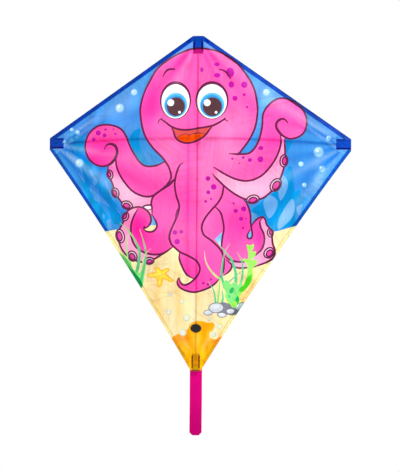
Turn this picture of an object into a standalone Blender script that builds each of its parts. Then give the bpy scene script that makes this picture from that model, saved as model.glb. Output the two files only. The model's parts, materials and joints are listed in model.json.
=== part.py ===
"""Diamond kite with a printed sail, a fibreglass frame and a ribbon tail.

The kite stands upright, with its printed face towards -Y and its frame behind the sail, towards +Y.
The origin is on the sail where the spine and the cross spars meet, which is where a bridle is tied.
Left and right are as seen from the printed side. Each wing turns about an upright axis beside the
spine, where the soft cross fitting bends, and the ribbon tail swings in three lengths.
"""

from math import cos, pi, radians, sin, sqrt

import bmesh
import bpy
from mathutils import Matrix, Vector

# Sail outline, in metres.
HALF_WIDTH = 0.368
NOSE_HEIGHT = 0.244
TAIL_DEPTH = 0.560
NOSE_HALF = 0.0125
TIP_LOW = -0.0277
FOOT_HALF = 0.011
FOOT_SHOULDER_HALF = 0.017
FOOT_SHOULDER_HEIGHT = 0.009
LOWER_EDGE_HOLLOW = 0.0127
WING_BOW = 0.050
LEAST_SPAN = 0.004

# Cloth thicknesses and seams.
SAIL_THICKNESS = 0.0008
HEM_THICKNESS = 0.0012
UPPER_HEM_DROP = 0.0122
LOWER_HEM_RISE = 0.0136
SEAM_GAP = 0.0003

# Wing hinges, where the cross fitting bends.
HINGE_X = 0.015
HINGE_GAP = 0.0004

# Frame rods and their ends.
ROD_RADIUS = 0.0020
BORE_RADIUS = 0.0023
CAP_RADIUS = 0.0031
CAP_LENGTH = 0.014
CAP_WALL = 0.0012
ROD_END_GAP = 0.0003
SPINE_BACK = 0.0050
SPAR_BACK = 0.0057
SPAR_DROOP = 0.0137
SPAR_TIP_INSET = 0.004
SPAR_TIP_X = HALF_WIDTH - SPAR_TIP_INSET
NOSE_CAP_TOP = 0.2430
TAIL_CAP_FOOT = -0.5590

# Soft cross fitting.
FITTING_HALF_WIDTH = 0.0080
FITTING_HALF_DEPTH = 0.0041
FITTING_HALF_HEIGHT = 0.0150
FITTING_BEVEL = 0.0012
ARM_RADIUS = 0.0040
ARM_INNER_X = 0.0160
ARM_OUTER_X = 0.0460
ARM_FLOOR = 0.0035

# Webbing pockets, measured around the axis of the rod that they hold.
POCKET_FRONT = 0.0043
POCKET_FLAT = 0.0020
POCKET_BORE = 0.00345
POCKET_BULGE = 0.0045
POCKET_BULGE_START = radians(-30)
POCKET_BULGE_CLEARANCE = 0.0002
POCKET_END_WALL = 0.0010
POCKET_CAP_GAP = 0.0004
NOSE_POCKET_WIDTH = 0.025
NOSE_POCKET_LENGTH = 0.0425
TAIL_POCKET_WIDTH = 0.020
TAIL_POCKET_LENGTH = 0.041
WING_POCKET_WIDTH = 0.023
WING_POCKET_LENGTH = 0.034

# Oval patch low on the front.
PATCH_HALF_WIDTH = 0.013
PATCH_HALF_HEIGHT = 0.010
PATCH_CENTRE_Z = -0.4575
PATCH_THICKNESS = 0.0008
PATCH_SIDES = 24

# Ribbon tail.
RIBBON_WIDTH = 0.0295
RIBBON_THICKNESS = 0.0008
RIBBON_BACK = 0.0102
RIBBON_TOP = -0.545
TAIL_HINGE_TOP = -0.566
TAIL_LINK = 0.050
TAIL_END = -0.7157
TAIL_CHAMFER = 0.007
TAIL_HINGE_GAP = 0.0005

# How finely the shapes are drawn.
PANEL_END_WIDTH = 0.002
WING_COLUMNS = 12
UPPER_ROWS = 4
LOWER_ROWS = 5
ROD_SIDES = 12
FITTING_SIDES = 16
HALVINGS = 40
DIRECTION_STEP = 0.0005
CUTTER_OVERSHOOT = 0.002
SHARP_ANGLE = radians(40)
PIVOT_SIZE = 0.02

SIDES = {"left": -1, "right": 1}


def clear_scene():
    """Remove every object that is in the file."""
    for item in list(bpy.data.objects):
        bpy.data.objects.remove(item)


def make_material(name, colour, roughness, metallic=0.0):
    """A plain Principled material."""
    material = bpy.data.materials.new(name)
    material.use_nodes = True
    shader = material.node_tree.nodes["Principled BSDF"]
    shader.inputs["Base Color"].default_value = (*colour, 1.0)
    shader.inputs["Roughness"].default_value = roughness
    shader.inputs["Metallic"].default_value = metallic
    material.diffuse_color = (*colour, 1.0)
    return material


def make_pivot(name, place, parent=None):
    """An empty on a joint's axis. Its place is given in the world."""
    pivot = bpy.data.objects.new(name, None)
    pivot.empty_display_size = PIVOT_SIZE
    bpy.context.scene.collection.objects.link(pivot)
    pivot.parent = parent
    pivot.location = Vector(place) - (world_place(parent) if parent else Vector())
    return pivot


def world_place(item):
    """Where a pivot is in the world. Pivots are never turned or scaled."""
    place = Vector()
    while item:
        place += item.location
        item = item.parent
    return place


def add_piece(name, mesh, material, pivot=None, smooth=False):
    """Finish a bmesh that was drawn in world coordinates as a named object under its pivot."""
    bmesh.ops.recalc_face_normals(mesh, faces=mesh.faces)
    if pivot:
        bmesh.ops.translate(mesh, verts=mesh.verts, vec=-world_place(pivot))
    data = bpy.data.meshes.new(name)
    mesh.to_mesh(data)
    mesh.free()
    if smooth:
        data.shade_smooth()
        data.set_sharp_from_angle(angle=SHARP_ANGLE)
    piece = bpy.data.objects.new(name, data)
    piece.data.materials.append(material)
    piece.parent = pivot
    bpy.context.scene.collection.objects.link(piece)
    return piece


def cut(piece, cutter):
    """Cut one piece with a hidden cutter."""
    cutter.hide_render = True
    cutter.display_type = "WIRE"
    step = piece.modifiers.new("cut", "BOOLEAN")
    step.operation = "DIFFERENCE"
    step.solver = "EXACT"
    step.object = cutter


def upper_edge(x):
    """Height of the sail's upper edge at a distance x from the spine."""
    if x <= NOSE_HALF:
        return NOSE_HEIGHT
    return NOSE_HEIGHT * (HALF_WIDTH - x) / (HALF_WIDTH - NOSE_HALF)


def lower_edge(x):
    """Height of the sail's lower edge, which is slightly hollow between the foot and the tip."""
    shoulder = -TAIL_DEPTH + FOOT_SHOULDER_HEIGHT
    if x <= FOOT_HALF:
        return -TAIL_DEPTH
    if x <= FOOT_SHOULDER_HALF:
        return -TAIL_DEPTH + FOOT_SHOULDER_HEIGHT * (x - FOOT_HALF) / (FOOT_SHOULDER_HALF - FOOT_HALF)
    along = (x - FOOT_SHOULDER_HALF) / (HALF_WIDTH - FOOT_SHOULDER_HALF)
    return shoulder + (TIP_LOW - shoulder) * along + 4 * LOWER_EDGE_HOLLOW * along * (1 - along)


def half_width(z):
    """Half the sail's width at a height, along straight edges."""
    if z > 0:
        return NOSE_HALF + (HALF_WIDTH - NOSE_HALF) * (1 - z / NOSE_HEIGHT)
    if z > TIP_LOW:
        return HALF_WIDTH
    drop = (TIP_LOW - z) / (TAIL_DEPTH + TIP_LOW)
    return FOOT_HALF + (HALF_WIDTH - FOOT_HALF) * (1 - drop)


def bow(x, z):
    """How far back the sail stands at a point: each wing is a cone about the kite's end."""
    out = max(x - HINGE_X, 0.0)
    span = max(half_width(z) - HINGE_X, LEAST_SPAN)
    share = min(out / span, 1.0)
    return WING_BOW * span / (HALF_WIDTH - HINGE_X) * share * share


def sheet(grid, thickness, side=1):
    """A closed sheet of cloth through rows of (distance from the spine, height) points."""
    mesh = bmesh.new()
    layers = []
    for offset in (-thickness / 2, thickness / 2):
        layers.append([
            [mesh.verts.new((side * x, bow(abs(x), z) + offset, z)) for x, z in line] for line in grid
        ])
    for points in layers:
        for a, b in zip(points, points[1:]):
            for i in range(len(a) - 1):
                mesh.faces.new((a[i], b[i], b[i + 1], a[i + 1]))
    rims = []
    for points in layers:
        rim = points[0][:-1] + [line[-1] for line in points[:-1]]
        rims.append(rim + points[-1][:0:-1] + [line[0] for line in points[:0:-1]])
    for i in range(len(rims[0])):
        j = (i + 1) % len(rims[0])
        mesh.faces.new((rims[0][i], rims[0][j], rims[1][j], rims[1][i]))
    return mesh


def band(columns, lower, upper):
    """The points of a sheet that lies between two edges, one line for each distance from the spine."""
    return [[(x, lower(abs(x))), (x, upper(abs(x)))] for x in columns]


def reach_at(edge, z):
    """How far from the spine a falling or rising edge meets a height."""
    near, far = HINGE_X, HALF_WIDTH
    rising = edge(far) > edge(near)
    for _ in range(HALVINGS):
        middle = (near + far) / 2
        if (edge(middle) < z) == rising:
            near = middle
        else:
            far = middle
    return (near + far) / 2


def under_hem(x):
    """Height where a wing's sail meets the upper hem."""
    return upper_edge(x) - UPPER_HEM_DROP


def over_hem(x):
    """Height where a wing's sail meets the lower hem."""
    return lower_edge(x) + LOWER_HEM_RISE


def panel_points():
    """The points of a wing's sail inside its hems, in level lines from the nose down to the foot."""
    inner = HINGE_X + HINGE_GAP
    top = under_hem(inner + PANEL_END_WIDTH)
    foot = over_hem(inner + PANEL_END_WIDTH)
    levels = [top * (1 - i / UPPER_ROWS) for i in range(UPPER_ROWS + 1)]
    levels += [under_hem(HALF_WIDTH), over_hem(HALF_WIDTH)]
    levels += [TIP_LOW + (foot - TIP_LOW) * i / LOWER_ROWS for i in range(LOWER_ROWS + 1)]
    grid = []
    for z in levels:
        edge = under_hem if z > over_hem(HALF_WIDTH) else over_hem
        outer = reach_at(edge, z)
        grid.append([(inner + (outer - inner) * i / WING_COLUMNS, z) for i in range(WING_COLUMNS + 1)])
    return grid


def trimmed(line):
    """A panel line drawn in at both ends of the panel, to leave the seam gap to the hems."""
    x, z = line[-1]
    return line[:-1] + [(max(x - SEAM_GAP, line[-2][0]), z)]


def turned(stations, sides):
    """A closed body of rings. A station is a point, the way the path runs there, and a radius."""
    mesh = bmesh.new()
    loops = []
    for centre, way, radius in stations:
        across = way.cross(Vector((0, 1, 0))).normalized()
        over = across.cross(way).normalized()
        ring = []
        for i in range(sides):
            turn = 2 * pi * i / sides
            ring.append(mesh.verts.new(centre + radius * (cos(turn) * across + sin(turn) * over)))
        loops.append(ring)
    for a, b in zip(loops, loops[1:]):
        for i in range(sides):
            j = (i + 1) % sides
            mesh.faces.new((a[i], a[j], b[j], b[i]))
    mesh.faces.new(loops[0])
    mesh.faces.new(loops[-1])
    return mesh


def spar_point(x, side):
    """A point on a cross spar's centre line, which follows the bowed sail."""
    z = -SPAR_DROOP * (x / HALF_WIDTH) ** 2
    return Vector((side * x, bow(x, z) + SPAR_BACK, z))


def spar_way(x, side):
    """The direction of a cross spar, outwards."""
    return (spar_point(x + DIRECTION_STEP, side) - spar_point(x - DIRECTION_STEP, side)).normalized()


def spine_point(z):
    """A point on the spine's centre line."""
    return Vector((0, SPINE_BACK, z))


def cup(place, way, mouth, end, inner, outer, wall, sides):
    """A cap with a blind bore, between two values of the path's own measure."""
    inward = 1 if end > mouth else -1
    floor = end - inward * wall
    chamfer = end - inward * wall / 2
    stations = [(place(floor), way(floor), inner), (place(mouth), way(mouth), inner)]
    stations += [(place(mouth), way(mouth), outer), (place(chamfer), way(chamfer), outer)]
    stations += [(place(end), way(end), outer - wall / 2)]
    return turned(stations, sides)


def pocket(name, mouth, way, width, length, material, pivot=None):
    """A webbing pocket for a rod's end: two flat sewn edges, a bulge round the rod, a closed end."""
    across = way.cross(Vector((0, 1, 0))).normalized()
    behind = across.cross(way).normalized()
    if behind.y < 0:
        behind = -behind
    seam = POCKET_FLAT - POCKET_FRONT
    start = sqrt(POCKET_BULGE**2 - seam**2)
    outline = [(-width / 2, -POCKET_FRONT), (width / 2, -POCKET_FRONT), (width / 2, seam), (start, seam)]
    for i in range(1, FITTING_SIDES):
        turn = POCKET_BULGE_START + (pi - 2 * POCKET_BULGE_START) * i / FITTING_SIDES
        if POCKET_BULGE * sin(turn) > seam + POCKET_BULGE_CLEARANCE:
            outline.append((POCKET_BULGE * cos(turn), POCKET_BULGE * sin(turn)))
    outline += [(-start, seam), (-width / 2, seam)]
    mesh = bmesh.new()
    ends = []
    for along in (0.0, length):
        ends.append([mesh.verts.new(mouth + along * way + v * across + n * behind) for v, n in outline])
    mesh.faces.new(ends[0])
    mesh.faces.new(ends[1])
    for i in range(len(outline)):
        j = (i + 1) % len(outline)
        mesh.faces.new((ends[0][i], ends[0][j], ends[1][j], ends[1][i]))
    piece = add_piece(name, mesh, material, pivot, smooth=True)
    start = mouth - CUTTER_OVERSHOOT * way
    end = mouth + (length - POCKET_END_WALL) * way
    bore = turned([(start, way, POCKET_BORE), (end, way, POCKET_BORE)], FITTING_SIDES)
    cut(piece, add_piece(name + "_bore_cutter", bore, material, pivot))
    return piece


def build_spine(looks):
    """The upright rod with its two end caps."""
    up = Vector((0, 0, 1))
    top = NOSE_CAP_TOP - CAP_WALL - ROD_END_GAP
    foot = TAIL_CAP_FOOT + CAP_WALL + ROD_END_GAP
    rod = turned([(spine_point(foot), up, ROD_RADIUS), (spine_point(top), up, ROD_RADIUS)], ROD_SIDES)
    add_piece("spine_rod", rod, looks["rod"], smooth=True)
    for name, end, inward in (("spine_nose_cap", NOSE_CAP_TOP, -1), ("spine_tail_cap", TAIL_CAP_FOOT, 1)):
        mouth = end + inward * CAP_LENGTH
        cap = cup(spine_point, lambda z: up, mouth, end, BORE_RADIUS, CAP_RADIUS, CAP_WALL, ROD_SIDES)
        add_piece(name, cap, looks["cap"], smooth=True)


def build_cross_fitting(looks):
    """The soft block on the spine that joins the two cross spars."""
    block = bmesh.new()
    size = (2 * FITTING_HALF_WIDTH, 2 * FITTING_HALF_DEPTH, 2 * FITTING_HALF_HEIGHT)
    shape = Matrix.Translation((0, SPINE_BACK, 0)) @ Matrix.Diagonal((*size, 1))
    bmesh.ops.create_cube(block, size=1.0, matrix=shape)
    bmesh.ops.bevel(block, geom=block.edges[:], offset=FITTING_BEVEL, segments=2, affect="EDGES")
    piece = add_piece("cross_fitting", block, looks["fitting"])
    up = Vector((0, 0, 1))
    reach = FITTING_HALF_HEIGHT + CUTTER_OVERSHOOT
    ends = [(spine_point(height), up, BORE_RADIUS) for height in (-reach, reach)]
    bore = turned(ends, FITTING_SIDES)
    cut(piece, add_piece("cross_fitting_bore_cutter", bore, looks["fitting"]))


def build_centre(looks):
    """The strip of sail along the spine, its two pockets and the patch on its front."""
    inner = HINGE_X - HINGE_GAP
    columns = [-inner, -NOSE_HALF, -FOOT_HALF, 0.0, FOOT_HALF, NOSE_HALF, inner]
    strip = sheet(band(columns, lower_edge, upper_edge), SAIL_THICKNESS)
    add_piece("sail_centre", strip, looks["sail"])
    up = Vector((0, 0, 1))
    nose_mouth = spine_point(NOSE_CAP_TOP + POCKET_CAP_GAP + POCKET_END_WALL - NOSE_POCKET_LENGTH)
    pocket("nose_pocket", nose_mouth, up, NOSE_POCKET_WIDTH, NOSE_POCKET_LENGTH, looks["webbing"])
    tail_mouth = spine_point(TAIL_CAP_FOOT - POCKET_CAP_GAP - POCKET_END_WALL + TAIL_POCKET_LENGTH)
    pocket("tail_pocket", tail_mouth, -up, TAIL_POCKET_WIDTH, TAIL_POCKET_LENGTH, looks["webbing"])
    patch = bmesh.new()
    middle = -SAIL_THICKNESS / 2 - SEAM_GAP - PATCH_THICKNESS / 2
    shape = Matrix.Translation((0, middle, PATCH_CENTRE_Z)) @ Matrix.Rotation(pi / 2, 4, "X")
    shape = shape @ Matrix.Diagonal((PATCH_HALF_WIDTH, PATCH_HALF_HEIGHT, PATCH_THICKNESS, 1))
    bmesh.ops.create_cone(
        patch, cap_ends=True, segments=PATCH_SIDES, radius1=1, radius2=1, depth=1, matrix=shape
    )
    add_piece("front_patch", patch, looks["patch"])


def build_wing(word, side, looks):
    """One wing: its sail, two hems, cross spar, spar cap, tip pocket and the fitting's arm."""
    pivot = make_pivot(word + "_wing_pivot", (side * HINGE_X, 0, 0))
    first = HINGE_X + HINGE_GAP
    grid = panel_points()
    panel = sheet([trimmed(line) for line in grid], SAIL_THICKNESS, side)
    add_piece("sail_" + word, panel, looks["sail"], pivot)
    seam = sorted({line[-1][0] for line in grid[:UPPER_ROWS + 2]} | {first})
    upper = band(seam, under_hem, upper_edge)
    add_piece("upper_hem_" + word, sheet(upper, HEM_THICKNESS, side), looks["hem"], pivot)
    seam = sorted({line[-1][0] for line in grid[UPPER_ROWS + 2:]} | {first, FOOT_SHOULDER_HALF})
    lower = band(seam, lower_edge, over_hem)
    add_piece("lower_hem_" + word, sheet(lower, HEM_THICKNESS, side), looks["hem"], pivot)

    def place(x):
        return spar_point(x, side)

    def way(x):
        return spar_way(x, side)

    start = ARM_INNER_X + ARM_FLOOR + ROD_END_GAP
    end = SPAR_TIP_X - CAP_WALL - ROD_END_GAP
    steps = [start + (end - start) * i / WING_COLUMNS for i in range(WING_COLUMNS + 1)]
    rod = turned([(place(x), way(x), ROD_RADIUS) for x in steps], ROD_SIDES)
    add_piece("spar_" + word, rod, looks["rod"], pivot, smooth=True)
    mouth = SPAR_TIP_X - CAP_LENGTH
    cap = cup(place, way, mouth, SPAR_TIP_X, BORE_RADIUS, CAP_RADIUS, CAP_WALL, ROD_SIDES)
    add_piece("spar_cap_" + word, cap, looks["cap"], pivot, smooth=True)
    arm = cup(place, way, ARM_OUTER_X, ARM_INNER_X, BORE_RADIUS, ARM_RADIUS, ARM_FLOOR, FITTING_SIDES)
    add_piece("cross_arm_" + word, arm, looks["fitting"], pivot, smooth=True)
    tip = place(SPAR_TIP_X)
    outward = (tip - place(SPAR_TIP_X - WING_POCKET_LENGTH)).normalized()
    reach = WING_POCKET_LENGTH - POCKET_END_WALL - POCKET_CAP_GAP
    mouth = tip - reach * outward
    size = (WING_POCKET_WIDTH, WING_POCKET_LENGTH)
    pocket("wing_pocket_" + word, mouth, outward, *size, looks["webbing"], pivot)


def ribbon(top, foot, chamfer=0.0):
    """A length of the ribbon between two heights, with or without cut corners at its foot."""
    half = RIBBON_WIDTH / 2
    outline = [(-half, top), (half, top), (half, foot + chamfer)]
    if chamfer:
        outline += [(half - chamfer, foot), (chamfer - half, foot)]
    outline += [(-half, foot + chamfer)]
    mesh = bmesh.new()
    faces = []
    for y in (RIBBON_BACK - RIBBON_THICKNESS / 2, RIBBON_BACK + RIBBON_THICKNESS / 2):
        faces.append([mesh.verts.new((x, y, z)) for x, z in outline])
        mesh.faces.new(faces[-1])
    for i in range(len(outline)):
        j = (i + 1) % len(outline)
        mesh.faces.new((faces[0][i], faces[0][j], faces[1][j], faces[1][i]))
    return mesh


def build_tail(looks):
    """The ribbon tail: a sewn tab, then three lengths that hang from each other."""
    tab = ribbon(RIBBON_TOP, TAIL_HINGE_TOP + TAIL_HINGE_GAP)
    add_piece("tail_ribbon_tab", tab, looks["ribbon"])
    pivot = None
    for i, word in enumerate(("upper", "middle", "lower")):
        top = TAIL_HINGE_TOP - TAIL_LINK * i
        pivot = make_pivot("tail_" + word + "_pivot", (0, RIBBON_BACK, top), pivot)
        last = word == "lower"
        foot = TAIL_END if last else top - TAIL_LINK + TAIL_HINGE_GAP
        piece = ribbon(top - TAIL_HINGE_GAP, foot, TAIL_CHAMFER if last else 0.0)
        add_piece("tail_ribbon_" + word, piece, looks["ribbon"], pivot)


def main():
    clear_scene()
    looks = {
        "sail": make_material("printed_ripstop", (0.95, 0.25, 0.55), 0.55),
        "hem": make_material("hem_cloth", (0.02, 0.08, 0.45), 0.6),
        "webbing": make_material("webbing", (0.03, 0.04, 0.20), 0.75),
        "rod": make_material("fibreglass", (0.03, 0.03, 0.035), 0.35),
        "cap": make_material("vinyl_cap", (0.02, 0.02, 0.02), 0.5),
        "fitting": make_material("soft_vinyl", (0.03, 0.03, 0.03), 0.45),
        "patch": make_material("patch_vinyl", (0.015, 0.015, 0.02), 0.5),
        "ribbon": make_material("ribbon_cloth", (0.75, 0.0, 0.25), 0.6),
    }
    build_spine(looks)
    build_cross_fitting(looks)
    build_centre(looks)
    for word, side in SIDES.items():
        build_wing(word, side, looks)
    build_tail(looks)


main()
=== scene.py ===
"""Looks of the printed diamond kite: cloth, print, hems, frame finishes, ribbon, light and camera."""

import json
from math import ceil, cos, exp, hypot, pi, radians, sin

import bpy
import numpy as np
from mathutils import Matrix, Vector
from mathutils.geometry import delaunay_2d_cdt


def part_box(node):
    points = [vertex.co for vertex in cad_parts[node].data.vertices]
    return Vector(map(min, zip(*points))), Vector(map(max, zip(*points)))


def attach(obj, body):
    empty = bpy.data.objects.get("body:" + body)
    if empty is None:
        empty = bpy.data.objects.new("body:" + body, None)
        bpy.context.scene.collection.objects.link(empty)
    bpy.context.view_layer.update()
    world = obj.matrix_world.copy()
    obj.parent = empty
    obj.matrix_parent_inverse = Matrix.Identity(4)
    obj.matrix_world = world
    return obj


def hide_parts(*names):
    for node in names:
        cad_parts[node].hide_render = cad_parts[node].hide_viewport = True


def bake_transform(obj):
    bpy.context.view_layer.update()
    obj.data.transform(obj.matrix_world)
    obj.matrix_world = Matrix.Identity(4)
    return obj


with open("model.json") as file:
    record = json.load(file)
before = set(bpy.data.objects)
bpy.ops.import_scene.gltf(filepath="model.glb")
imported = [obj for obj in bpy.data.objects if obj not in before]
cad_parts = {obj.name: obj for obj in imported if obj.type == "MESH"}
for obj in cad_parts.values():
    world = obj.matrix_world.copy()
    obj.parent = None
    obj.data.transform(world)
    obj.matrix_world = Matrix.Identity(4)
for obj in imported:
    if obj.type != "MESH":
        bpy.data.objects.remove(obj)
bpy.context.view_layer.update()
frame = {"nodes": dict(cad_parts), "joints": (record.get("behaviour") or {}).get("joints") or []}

# Sizes that the CAD gives, in metres.
CENTRE_LOW, CENTRE_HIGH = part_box("sail_centre")
HALF_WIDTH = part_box("sail_right")[1].x
NOSE_HEIGHT = CENTRE_HIGH.z
TAIL_DEPTH = -CENTRE_LOW.z

# Sizes of the cloth's cut, the same as the CAD's own, in metres.
NOSE_HALF = 0.0125
TIP_LOW = -0.0277
FOOT_HALF = 0.011
FOOT_SHOULDER_HALF = 0.017
FOOT_SHOULDER_HEIGHT = 0.009
LOWER_EDGE_HOLLOW = 0.0127
WING_BOW = 0.050
HINGE_X = 0.015
UPPER_HEM_DROP = 0.0122
LOWER_HEM_RISE = 0.0136
SPAR_DROOP = 0.0137
LEAST_SPAN = 0.004

MM = 0.001


# ---- The sail's surface ----

def upper_line(x):
    """Height of the straight upper edge, run on past the nose's corner."""
    return NOSE_HEIGHT * (HALF_WIDTH - x) / (HALF_WIDTH - NOSE_HALF)


def lower_line(x):
    """Height of the hollow lower edge, run on past the foot's shoulder."""
    shoulder = -TAIL_DEPTH + FOOT_SHOULDER_HEIGHT
    along = (x - FOOT_SHOULDER_HALF) / (HALF_WIDTH - FOOT_SHOULDER_HALF)
    return shoulder + (TIP_LOW - shoulder) * along + 4 * LOWER_EDGE_HOLLOW * along * (1 - along)


def upper_edge(x):
    """Height of the sail's upper edge at a distance from the spine."""
    return NOSE_HEIGHT if x <= NOSE_HALF else upper_line(x)


def lower_edge(x):
    """Height of the sail's lower edge at a distance from the spine."""
    if x <= FOOT_HALF:
        return -TAIL_DEPTH
    if x <= FOOT_SHOULDER_HALF:
        return -TAIL_DEPTH + (x - FOOT_HALF) / (FOOT_SHOULDER_HALF - FOOT_HALF) * FOOT_SHOULDER_HEIGHT
    return lower_line(x)


def spar_line(x):
    """Height of the cross spars at a distance from the spine."""
    return -SPAR_DROOP * (x / HALF_WIDTH) ** 2


def half_width(z):
    """How far the sail reaches from the spine at a height."""
    above = NOSE_HALF + (HALF_WIDTH - NOSE_HALF) * (1 - z / NOSE_HEIGHT)
    drop = (TIP_LOW - z) / (TAIL_DEPTH + TIP_LOW)
    below = FOOT_HALF + (HALF_WIDTH - FOOT_HALF) * (1 - drop)
    return np.where(z > 0, above, np.where(z > TIP_LOW, HALF_WIDTH, below))


def bow(x, z):
    """How far the wing is bent back, for arrays of points."""
    out = np.maximum(np.abs(x) - HINGE_X, 0)
    span = np.maximum(half_width(z) - HINGE_X, LEAST_SPAN)
    share = np.minimum(out / span, 1)
    return WING_BOW * span / (HALF_WIDTH - HINGE_X) * share * share


def bell(value, width):
    """From 1 at 0 to nearly 0 at twice the width."""
    return np.exp(-(value / width) ** 2)


def step(value, low, high):
    """From 0 below the low value, smoothly, to 1 above the high one."""
    t = np.clip((value - low) / (high - low), 0, 1)
    return t * t * (3 - 2 * t)


# A fan of folds: where it starts, then each fold's direction in degrees, its half width in
# degrees, its height in millimetres and how far it runs in millimetres.
FANS = [
    ((0.0, 0.236), [(-129, 5, 0.9, 75), (-144, 4, -0.5, 60), (-116, 5, -0.5, 110), (-161, 5, 0.5, 90),
                    (-50, 5, 0.9, 80), (-37, 4, -0.5, 60), (-66, 5, 0.5, 110), (-20, 5, -0.3, 70)]),
    ((-0.362, -0.014), [(2, 4, 0.7, 110), (-22, 5, 1.0, 150), (-34, 5, -0.7, 120), (-44, 4, 0.9, 210),
                        (18, 4, 0.6, 120), (28, 4, -0.5, 90), (-10, 4, -0.6, 90)]),
    ((0.362, -0.014), [(178, 4, 0.7, 110), (160, 4, 0.8, 90), (150, 4, -0.6, 140), (-141, 5, 0.9, 100),
                       (-152, 4, -0.6, 90), (-166, 5, 0.6, 120), (-131, 3, -0.5, 140)]),
    ((0.0, -0.540), [(74, 5, 0.6, 90), (106, 5, 0.6, 90), (62, 3, -0.4, 120), (118, 3, -0.4, 120),
                     (90, 5, -0.2, 60)]),
]

# How much higher and longer all the folds are than the fans say, and how far from a fan's start
# its folds rise, in millimetres.
FOLD_HEIGHT = 1.7
FOLD_REACH = 1.6
FOLD_RISE = (12, 45)

# How high the puckers along the hems are, in millimetres, and how fast they follow each other.
PUCKER_HEIGHT = 0.16
PUCKER_RATE = 640


def folds(x, z):
    """Height of the tension folds, in millimetres: it is over 0 where the cloth is pulled back."""
    total = np.zeros_like(x)
    for (x0, z0), ridges in FANS:
        r = np.hypot(x - x0, z - z0) / MM
        angle = np.degrees(np.arctan2(z - z0, x - x0))
        for direction, width, height, reach in ridges:
            off = (angle - direction + 180) % 360 - 180
            grow = step(r, *FOLD_RISE)
            total += FOLD_HEIGHT * height * grow * np.exp(-r / (reach * FOLD_REACH)) * bell(off, width)
    return total


def ripples(x, z):
    """Soft uneven ripples of loose cloth, in millimetres."""
    a = np.sin(61 * x + 23 * z + 1.3) * np.sin(17 * x - 39 * z + 0.4)
    b = np.sin(118 * x - 74 * z + 2.1) * np.sin(43 * x + 96 * z + 0.9)
    c = np.sin(29 * x + 7 * z) * np.sin(11 * x - 21 * z + 2.0)
    return 0.9 * a + 0.35 * b + 0.9 * c


def edge_ripples(x, z):
    """Short puckers that the stitching draws into the hems, in millimetres."""
    side = np.abs(x)
    near = bell(upper_line(side) - z, 0.016) + bell(z - lower_line(side), 0.018)
    return PUCKER_HEIGHT * near * np.sin(side * PUCKER_RATE + 3 * np.sin(side * 71))


# Where something is sewn behind the cloth, by distance from the spine or by height, in metres.
NOSE_SEWN = (0.180, 0.205)
FOOT_SEWN = (0.500, 0.520)
TIP_SEWN = (0.318, 0.338)
TIP_HEIGHT = -0.013
PATCH_HEIGHT = -0.4575

# A crease down the cloth on the left of the spine, where the kite was folded.
CREASE_X = -0.022

# How far the cloth stands off the spine, in millimetres, and within which distance it gets there.
TENT_HEIGHT = 0.9
TENT_REACH = 0.020


def calm(x, z):
    """From 0 where something is sewn behind the cloth to 1 on the open cloth."""
    side = np.abs(x)
    nose = bell(side, 0.016) * step(z, *NOSE_SEWN)
    foot = bell(side, 0.014) * step(-z, *FOOT_SEWN)
    tip = step(side, *TIP_SEWN) * bell(z - TIP_HEIGHT, 0.016)
    patch = bell(side, 0.018) * bell(z - PATCH_HEIGHT, 0.016)
    return 1 - 0.85 * np.clip(nose + foot + tip + patch, 0, 1)


def relief(x, z):
    """How far the cloth stands back from its bowed shape, in metres."""
    off_spine = step(np.abs(x), 0.0, 0.014)
    tent = TENT_HEIGHT * (1 - np.exp(-np.abs(x) / TENT_REACH))
    crease = 0.45 * bell(x - CREASE_X, 0.0035) * step(-z, -0.09, 0.02) * step(z, -0.42, -0.30)
    loose = folds(x, z) + ripples(x, z) * step(half_width(z) - np.abs(x), 0.0, 0.05)
    under_spar = 0.35 * bell(z + 0.022 - spar_line(x), 0.014)
    total = off_spine * (loose + crease + under_spar + edge_ripples(x, z)) * calm(x, z) + 0.5 * tent
    return total * MM


def surface(x, z):
    """How far back the cloth is, in metres."""
    return bow(x, z) + relief(x, z)


# ---- The print ----
# A smiling octopus over a sea bed. Its outlines are in millimetres on the sail, from the point where
# the spine and the spars cross. Left and right are the viewer's.

# How close the points of a curve are, how wide the lines are and over how many widths they thin.
STEP = 2.6
INK = 4.8
FINE_INK = 3.8
TAPER = 4

# The print's shapes, from the lowest to the topmost: an outline and its ink.
layers = []


def curve(points, closed=False):
    """Points along a smooth curve through the given ones."""
    p = [Vector(q) for q in points]
    n = len(p)
    found = []
    for i in range(n if closed else n - 1):
        b, c = p[i], p[(i + 1) % n]
        a = p[i - 1] if closed or i else b + (b - c)
        d = p[(i + 2) % n] if closed or i < n - 2 else c + (c - b)
        size = max((c - b).length, 0.1)
        m = (c - a) / (1 + (b - a).length / size)
        k = (d - b) / (1 + (d - c).length / size)
        pieces = max(1, ceil((c - b).length / STEP))
        for j in range(pieces):
            t = j / pieces
            h = 2 * t ** 3 - 3 * t * t + 1
            found.append(h * b + (t ** 3 - 2 * t * t + t) * m + (1 - h) * c + (t ** 3 - t * t) * k)
    if not closed:
        found.append(p[-1])
    return [(q.x, q.y) for q in found]


def fill(outline, ink):
    """A shape with straight sides, over everything drawn so far."""
    layers.append((np.array(outline), ink))


def blob(points, ink):
    """A shape with a smooth outline."""
    fill(curve(points, closed=True), ink)


def directions(p):
    """The directions along a line and across it, at each of its points."""
    way = np.gradient(p, axis=0)
    way /= np.maximum(np.hypot(way[:, 0], way[:, 1]), 1e-6)[:, None]
    return way, np.stack([-way[:, 1], way[:, 0]], 1)


def distances(p):
    """How far along a line each of its points is."""
    return np.concatenate([[0], np.cumsum(np.hypot(*np.diff(p, axis=0).T))])


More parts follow.
